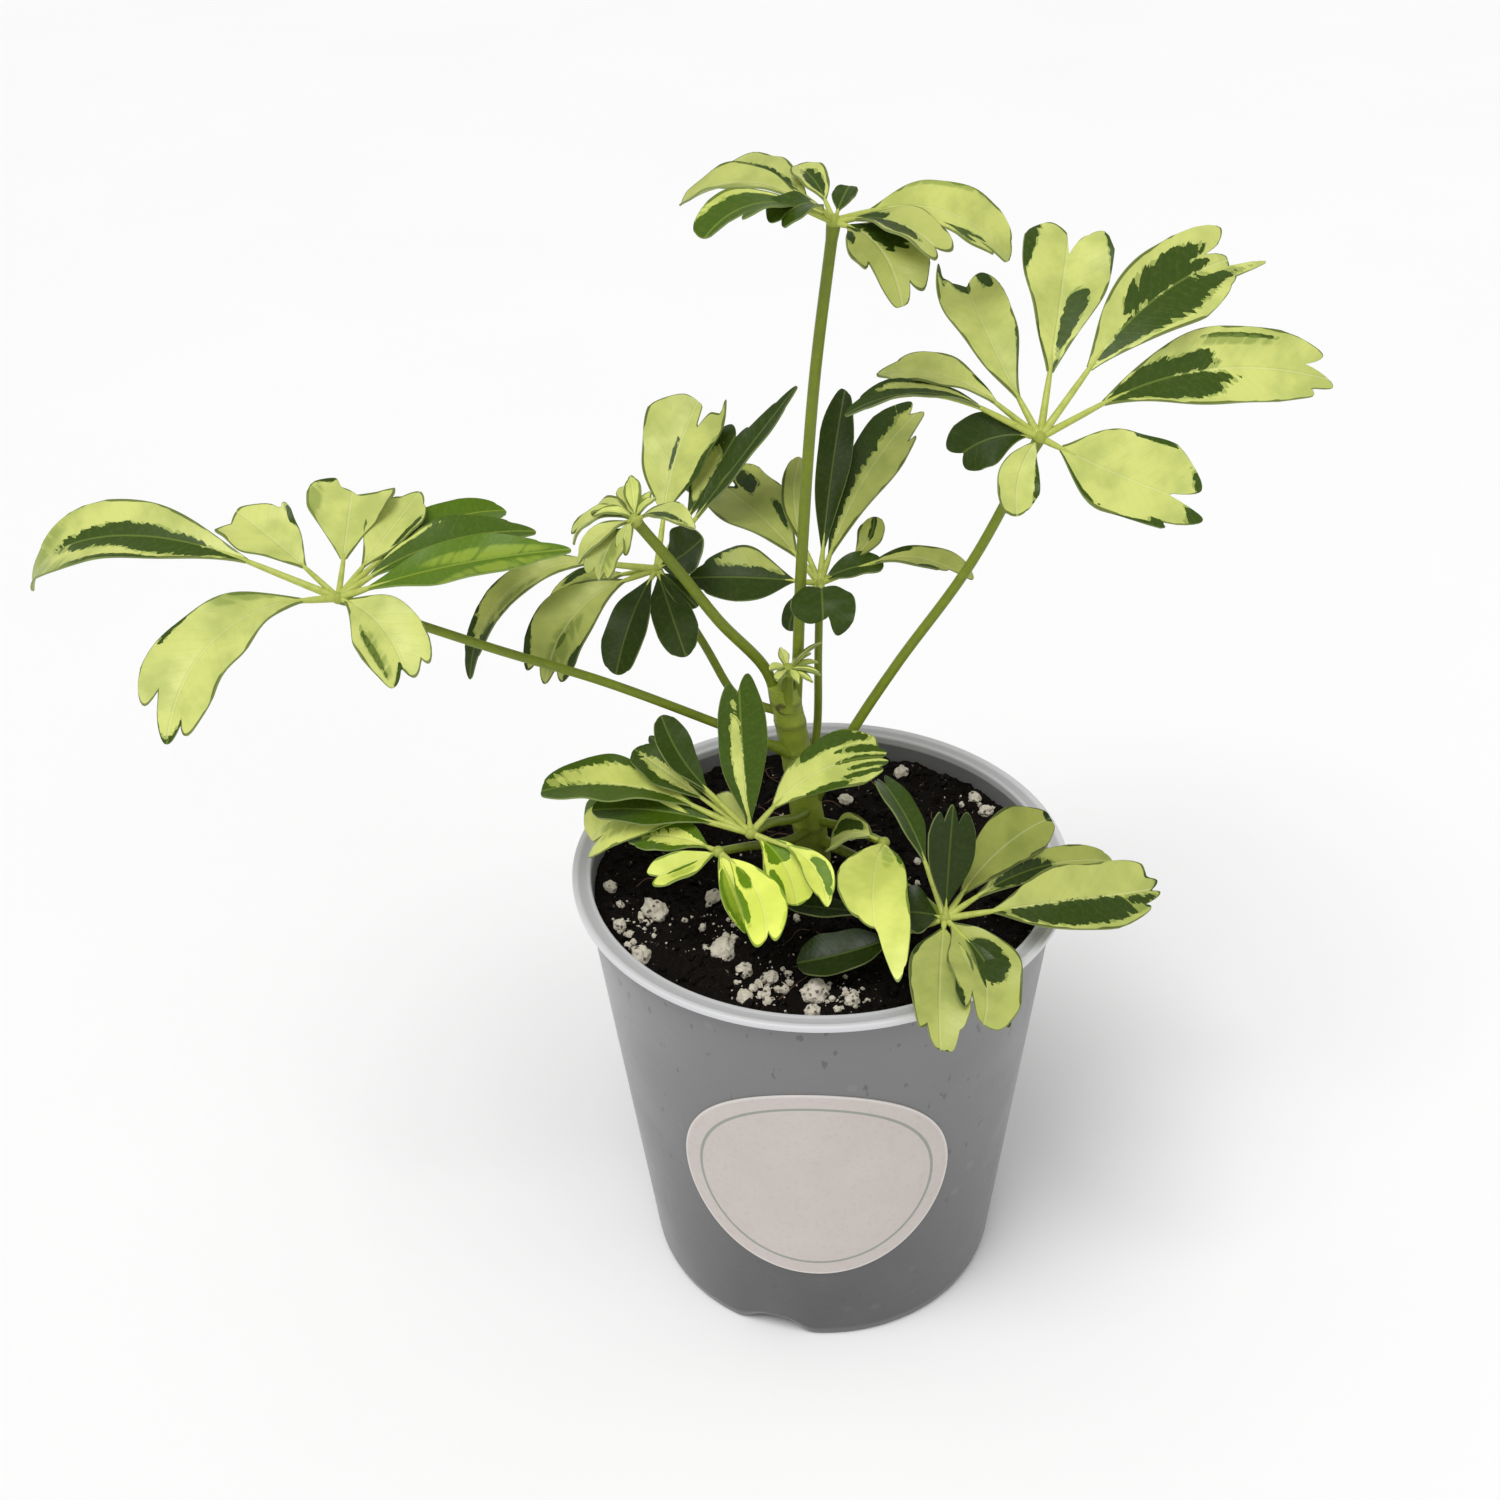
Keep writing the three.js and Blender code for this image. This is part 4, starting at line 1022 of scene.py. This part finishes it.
grow_leaf("leaf_centre", hub=(1, 14, 188.5), tilt=12, toward=-90, radius=0.9, petiole=[
    (-3, 8, 137), (0, 12, 150), (0.5, 13, 170),
], leaflets=[
    ((81, 36, 7, 40, 8, 8, -5), ROUNDED, 0.6, DARK, 0.2),
    ((65, 31, 7, 46, 13, 29, -15), ONE_TOOTH, 0.6, PALE, 0.3, (0.8, -0.1, 1.1, 0.5)),
    ((21, 20, 1.5, 14, 8, 28, -18), ROUND, 0.6, DARK, 0.4),
    ((34, 15, 10, 12, 6, -9, 55), ROUND, 0.6, PALE, 0.15, (0, 0.5, 1.1, 0.25)),
    ((16, 11, 13, 24, 8, 46, -48), HOOKED, 0.6, PALE, 0.25,
     (0.9, 0.05, 0.4, 0.35), (-0.8, 0.75, 1.05, 0.3)),
    ((270, 33, 8, 11.5, 14, 110, 0), TWIN, 0.5, DARK, 0.32),
    ((302, -8, 2, 9, 5, 30, -6), ROUND, 0.6, DARK, 0.3),
    ((219, -12, 3, 11, 5, 72, 12), ROUND, 0.6, DARK, 0.2),
    ((126, 17, 9, 33, 19, 28, 0), SPIKY, 0.7, PALE, 0.25,
     (-0.5, 0.68, 0.95, 0.22), (-0.6, 0.22, 0.5, 0.12), (0.9, 0.7, 1.1, 0.3),
     (-0.1, 0.95, 1.1, 0.8)),
    ((110, 22, 10, 24, 6, 3, -40), ROUND, 0.6, PALE, 0.2, (-0.9, 0.1, 0.8, 0.4)),
    ((177, 7, 6, 24, 14, 11, 0, -22), POINTED, 0.5, DARK, 0.26, (-0.72, 0.1, 0.9, 0.36)),
])
grow_leaf("leaf_centre_left", hub=(-36, 15, 193), tilt=25, toward=-110, radius=0.95, petiole=[
    (-8, 9, 157), (-13, 9.5, 158.5), (-19.5, 10, 162), (-26, 12, 174.5),
], leaflets=[
    ((76, 20, 13, 28, 19, 3, -20), EARED, 0.7, PALE, 0.42,
     (-1.02, 0.18, 0.68, 0.2), (0.1, 0.38, 0.66, 0.06)),
    ((40, 21, 14, 38, 7.5, 0, 0, -20), POINTED, 0.45, DARK, 0.34),
    ((52, 15, 14, 25, 11, 0, 0, -15), NOTCHED, 0.6, DARK, 0.36, (0.4, 0.15, 0.78, 0.4)),
    ((348, 32, 2, 14, 12, -14, 18, 15), ROUND, 0.5, DARK, 0.15),
    ((241, 1, 3, 24, 10, 31, 8), ROUND, 0.6, DARK, 0.2),
    ((282, 0, 2, 21, 9.5, 30, 2), ROUND, 0.6, DARK, 0.25),
    ((308, 0, 2, 12, 6, 19, 0), ROUND, 0.6, DARK, 0.3),
    ((199, 5, 8, 31, 15, 46, 49), TOOTHED, 0.55, PALE, 0.25,
     (0.9, 0.72, 1.05, 0.22), (0.1, 0.6, 0.74, 0.1), (-0.9, 0.8, 1.05, 0.2),
     (0.2, 0.4, 1.0, 0.5, FAINT)),
    ((176, -6, 8, 25, 9, 44, 16), POINTED, 0.5, PALE, 0.2,
     (-0.8, 0.4, 0.8, 0.2), (0, 0.2, 0.9, 0.6, FAINT)),
    ((182, 25, 14, 45, 7.5, 88, 58), POINTED, 0.4, PALE, 0.3,
     (0, 0.78, 1.1, 1.0), (0.5, 0.3, 0.9, 0.3, FAINT)),
])
grow_leaf("leaf_low_left", hub=(-16.5, -20, 143.5), tilt=15, toward=-90, radius=1.1, petiole=[
    (-2.5, 7, 130), (-6, -2, 134), (-12, -13, 141),
], leaflets=[
    ((98, 51, 2.5, 34, 11, 5, -9), STEPPED, 0.55, DARK, 0.54, (0.26, -0.2, 0.9, 0.27)),
    ((48, 12, 8, 33, 14, 35, -34, 15), SERRATED, 0.6, PALE, 0.55,
     (0.8, 0.35, 0.95, 0.24), (0.34, 0.66, 1.1, 0.13), (0.02, 0.6, 1.1, 0.1),
     (-0.3, 0.68, 1.1, 0.11), (-0.6, 0.62, 1.1, 0.1), (-0.9, 0.3, 0.7, 0.22)),
    ((153, 9, 15, 36, 15, 19, 36, 10), ROUNDED, 0.6, DARK, 0.62, (-0.36, -0.1, 0.95, 0.42)),
    ((161, 4, 9, 29, 10, 18, 12), ROUND, 0.6, DARK, 0.56),
    ((144, 32, 14, 20, 8, -3, -34), ROUND, 0.6, DARK, 0.35),
    ((144, 14, 14, 20, 10, 10, -6), ROUND, 0.6, DARK, 0.52, (0.05, -0.2, 0.9, 0.46)),
    ((125, 5, 2, 11, 7, 0, 0), ROUND, 0.6, PALE, 0.3, (-1, 0.2, 1, 0.2)),
    ((138, 16, 13, 24, 4, 35, -25), ROUND, 0.6, DARK, 0.5),
    ((161, 2, 14, 33, 14, 70, 4, -30), BLUNT, 0.6, PALE, 0.7,
     (-0.9, 0.3, 1.1, 0.14), (0.3, 0.3, 0.9, 0.4, FAINT)),
    ((322, -8, 2.5, 18, 11, 33, -45), ROUND, 0.55, PALE, 1.0,
     (0.1, 0.08, 0.42, 0.8), (-0.65, 0.5, 1.05, 0.2)),
    ((330, 3, 9, 18, 7, 37, -56), POINTED, 0.6, PALE, 0.9, (0.4, 0.4, 0.95, 0.35)),
])
grow_leaf("leaf_low_front", hub=(-24, -24, 141.5), tilt=15, toward=-90, radius=1.0, petiole=[
    (-2, 7, 124), (-8, -3, 128), (-17, -15, 136),
], leaflets=[
    ((145, -6, 3, 21, 12, 20, 25), POINTED, 0.6, DARK, 0.74, (0.1, -0.2, 0.74, 0.56)),
    ((207, 1, 1, 16, 8, 15, -12), NOTCHED, 0.6, PALE, 0.8,
     (0.1, 0.3, 0.8, 0.12), (0.5, 0.3, 0.8, 0.3, FAINT)),
    ((290, 0, 1, 20, 8, 26, 2), TWO_LOBED, 0.6, PALE, 0.9,
     (-0.6, 0.2, 1.05, 0.3), (-0.3, 0.1, 1.0, 0.5, FAINT), (0.9, 0.5, 0.9, 0.2)),
    ((315, 3, 3.5, 25, 10, 19, -54), STEPPED, 0.55, PALE, 1.0,
     (-0.3, 0.12, 0.4, 0.4), (-0.9, 0.4, 0.9, 0.22), (0.9, 0.85, 1.1, 0.4, FAINT)),
])
grow_leaf("leaf_low_right", hub=(26.5, -35, 129), tilt=20, toward=-60, radius=1.1, petiole=[
    (0, 8, 120), (12, -9, 124.5), (21, -25, 128),
], leaflets=[
    ((104, 60, 3, 25, 11, 0, -4), TOOTHED, 0.6, DARK, 0.15),
    ((111, 16, 13.5, 28, 8, 43, 0, 15), TWO_LOBED, 0.55, DARK, 0.4),
    ((56, 19, 7, 31, 13, 25, -23), ROUNDED, 0.6, PALE, 0.05,
     (1.02, 0.05, 0.4, 0.2), (0.1, 0.96, 1.1, 0.3)),
    ((34, 19, 8, 36, 8, 31, -27), ROUND, 0.6, PALE, 0.12, (-0.1, 0.15, 0.58, 0.8)),
    ((6, 16, 11, 38, 16, 15, 4, 15, -14), SERRATED, 0.5, PALE, 0.3,
     (-0.43, 0.02, 0.96, 0.42), (0.2, 0.98, 1.1, 0.4)),
    ((259, 8, 3, 30, 14, 27, 15), HANGING, 0.42, PALE, 0.26,
     (-1, 0.1, 0.5, 0.12), (0, 1.0, 1.1, 0.5)),
    ((309, 11, 2, 28, 16, 17, -55), MOUTHED, 0.5, PALE, 0.26,
     (0.28, 0.22, 0.62, 0.42), (-0.9, 0.8, 1.1, 0.2)),
    ((304, 12, 7, 23, 6, 44, -18), POINTED, 0.6, DARK, 0.35),
    ((177, 12, 2, 11, 12, 20, 14), ROUND, 0.5, DARK, 0.12),
    ((196, -23, 13, 22, 11, 0, -14), ROUND, 0.5, DARK, 0.05),
    ((168, -18, 17, 22, 6, 0, -5), POINTED, 0.6, DARK, 0.1),
])
grow_leaf("leaf_low_middle", hub=(14.5, -12, 133.5), tilt=10, toward=-90, radius=1.0, petiole=[
    (-1.5, 8, 126), (7, 0, 129),
], leaflets=[
    ((252, 24, 1, 43, 16, 46, 29), LOBE_AND_TAIL, 0.45, PALE, 0.7,
     (1, 0.1, 0.4, 0.16), (0.5, 0.0, 0.3, 0.4, FAINT)),
    ((136, -12, 4, 14, 12, 52, 33), ROUND, 0.6, PALE, 0.4, (-0.5, 0.2, 0.95, 0.28)),
])
grow_leaf("leaf_young", hub=(-39, -4, 215.5), tilt=10, toward=-120, radius=1.2, petiole=[
    (-9, 8.5, 160), (-12.5, 7.5, 171), (-22, 3, 185.7), (-30.7, 0, 201),
], leaflets=[
    ((105, 31, 1, 9, 4, 36, 0), ROUND, 0.6, PALE, 0.45),
    ((147, 15, 1, 18, 6, 84, 45), TOOTHED, 0.6, PALE, 0.45, (0.8, 0.2, 1, 0.4, FAINT)),
    ((200, 9, 3.5, 11, 4, 77, 22), POINTED, 0.6, PALE, 0.4),
    ((229, 0, 3.5, 13, 8, 55, 16), TOOTHED, 0.5, PALE, 0.34, (0.3, 0.2, 1, 0.6, FAINT)),
    ((326, 39, 3, 16, 6, 59, -14), POINTED, 0.5, PALE, 0.45, (-0.4, 0.1, 0.9, 0.4)),
    ((136, 24, 1.5, 11, 6, 72, 20), ROUND, 0.6, PALE, 0.45),
    ((88, 45, 1.5, 9, 4, 30, 10), POINTED, 0.6, PALE, 0.6),
    ((215, 20, 2, 15, 5, 80, -10), POINTED, 0.5, PALE, 0.4),
    ((170, 48, 1, 9, 3, 90, 0), POINTED, 0.6, PALE, 0.62),
    ((60, 35, 1, 7, 2.6, 40, 0), POINTED, 0.6, PALE, 0.62),
    ((20, 62, 1, 6, 2.6, 60, 0), POINTED, 0.6, PALE, 0.62),
    ((252, 22, 2, 9, 3.5, 90, 0), NOTCHED, 0.6, PALE, 0.5),
])
grow_leaf("shoot_tip", hub=(-6.8, 5, 171), tilt=0, toward=-90, radius=1.3, petiole=[
    (-7, 5.8, 160), (-7, 5.5, 166),
], leaflets=[
    ((5, 55, 0.6, 10, 1.8, 30, 0), POINTED, 0.6, PALE, 0.35),
    ((120, 60, 0.6, 5, 2.6, 20, 0), POINTED, 0.6, PALE, 0.5),
    ((200, 45, 0.6, 4.5, 2.8, 70, 0), ROUND, 0.6, PALE, 0.55),
    ((240, 30, 0.6, 5, 2.6, 70, 0), ROUND, 0.6, PALE, 0.5),
    ((290, 30, 0.6, 6.5, 2.2, 60, 0), POINTED, 0.6, PALE, 0.62),
    ((315, 15, 0.8, 6.5, 2, 50, 20), POINTED, 0.6, PALE, 0.64),
    ((335, 28, 0.8, 7, 2, 50, 10), POINTED, 0.6, PALE, 0.66),
    ((350, 12, 0.8, 7, 2, 40, 0), POINTED, 0.6, PALE, 0.66),
    ((10, 30, 0.8, 6.5, 2, 40, -10), POINTED, 0.6, PALE, 0.66),
    ((35, 42, 0.8, 6, 2, 40, -20), POINTED, 0.6, PALE, 0.6),
])
bpy.data.objects.remove(blank)

# ---- Floor, light and camera --------------------------------------------------------------
# A plain pale floor under soft studio light, seen from above the front of the pot.

choose()
bpy.ops.mesh.primitive_plane_add(size=8)
floor = bpy.context.object
floor.name = "studio_floor"
sweep = Finish("pale_studio_floor", 6.0)
colour = mixed(sweep.patches, tint(245, 245, 245), tint(248, 248, 248))
sweep.tree.links.new(colour, sweep.shader["Base Color"])
sweep.shader["Roughness"].default_value = 0.8
floor.data.materials.append(sweep.material)

scene = bpy.context.scene
scene.view_settings.view_transform = "Standard"
world = bpy.data.worlds.new("pale_studio")
world.use_nodes = True
backdrop = world.node_tree.nodes["Background"]
backdrop.inputs["Color"].default_value = (1, 1, 1, 1)
seen = world.node_tree.nodes.new("ShaderNodeLightPath").outputs["Is Camera Ray"]
# the backdrop lights the plant at 0.55 and is itself seen at 0.95
bright = put("MapRange", {"Value": seen, 3: 0.55, 4: 0.95}).outputs["Result"]
world.node_tree.links.new(bright, backdrop.inputs["Strength"])
scene.world = world

PLANT_MIDDLE = Vector((-0.016, 0, 0.15))


def soft_light(name, place, size, power):
    choose()
    bpy.ops.object.light_add(type="AREA", location=place)
    lamp = bpy.context.object
    lamp.name = name
    lamp.data.shape = "DISK"
    lamp.data.size = size
    lamp.data.energy = power
    lamp.rotation_euler = (PLANT_MIDDLE - Vector(place)).to_track_quat("-Z", "Y").to_euler()


soft_light("fill_light", (0.9, -0.9, 0.8), 1.2, 1.5)
choose()
bpy.ops.object.light_add(type="SUN", location=(-0.5, -0.5, 1.0))
sun = bpy.context.object
sun.name = "window_light"
sun.data.energy = 1.75
sun.data.angle = math.radians(32)
sun.rotation_euler = Vector((0.24, 0.36, -0.9)).to_track_quat("-Z", "Y").to_euler()

# The view of the photograph, in its pixels: a 1500 frame, and a lens of 2000 pixels.
PHOTO_SIZE = 1500
LENS_PIXELS = 2000
VIEW_RISE = math.radians(34.4)
VIEW_ROLL = math.radians(-1.8)
VIEW_DISTANCE = 0.4652
VIEW_TARGET = Vector((-0.0161, 0, 0.1526))
backward = Vector((0, -math.cos(VIEW_RISE), math.sin(VIEW_RISE)))
upright = Vector((0, math.sin(VIEW_RISE), math.cos(VIEW_RISE)))
level = Vector((1, 0, 0))
right = math.cos(VIEW_ROLL) * level + math.sin(VIEW_ROLL) * upright
up = -math.sin(VIEW_ROLL) * level + math.cos(VIEW_ROLL) * upright
bpy.ops.object.camera_add()
camera = bpy.context.object
camera.name = "photo_view"
camera.data.sensor_width = 36
camera.data.lens = 36 * LENS_PIXELS / PHOTO_SIZE
camera.data.clip_start = 0.01
turned_to = Matrix((right, up, backward)).transposed().to_4x4()
camera.matrix_world = Matrix.Translation(VIEW_TARGET + backward * VIEW_DISTANCE) @ turned_to
scene.camera = camera
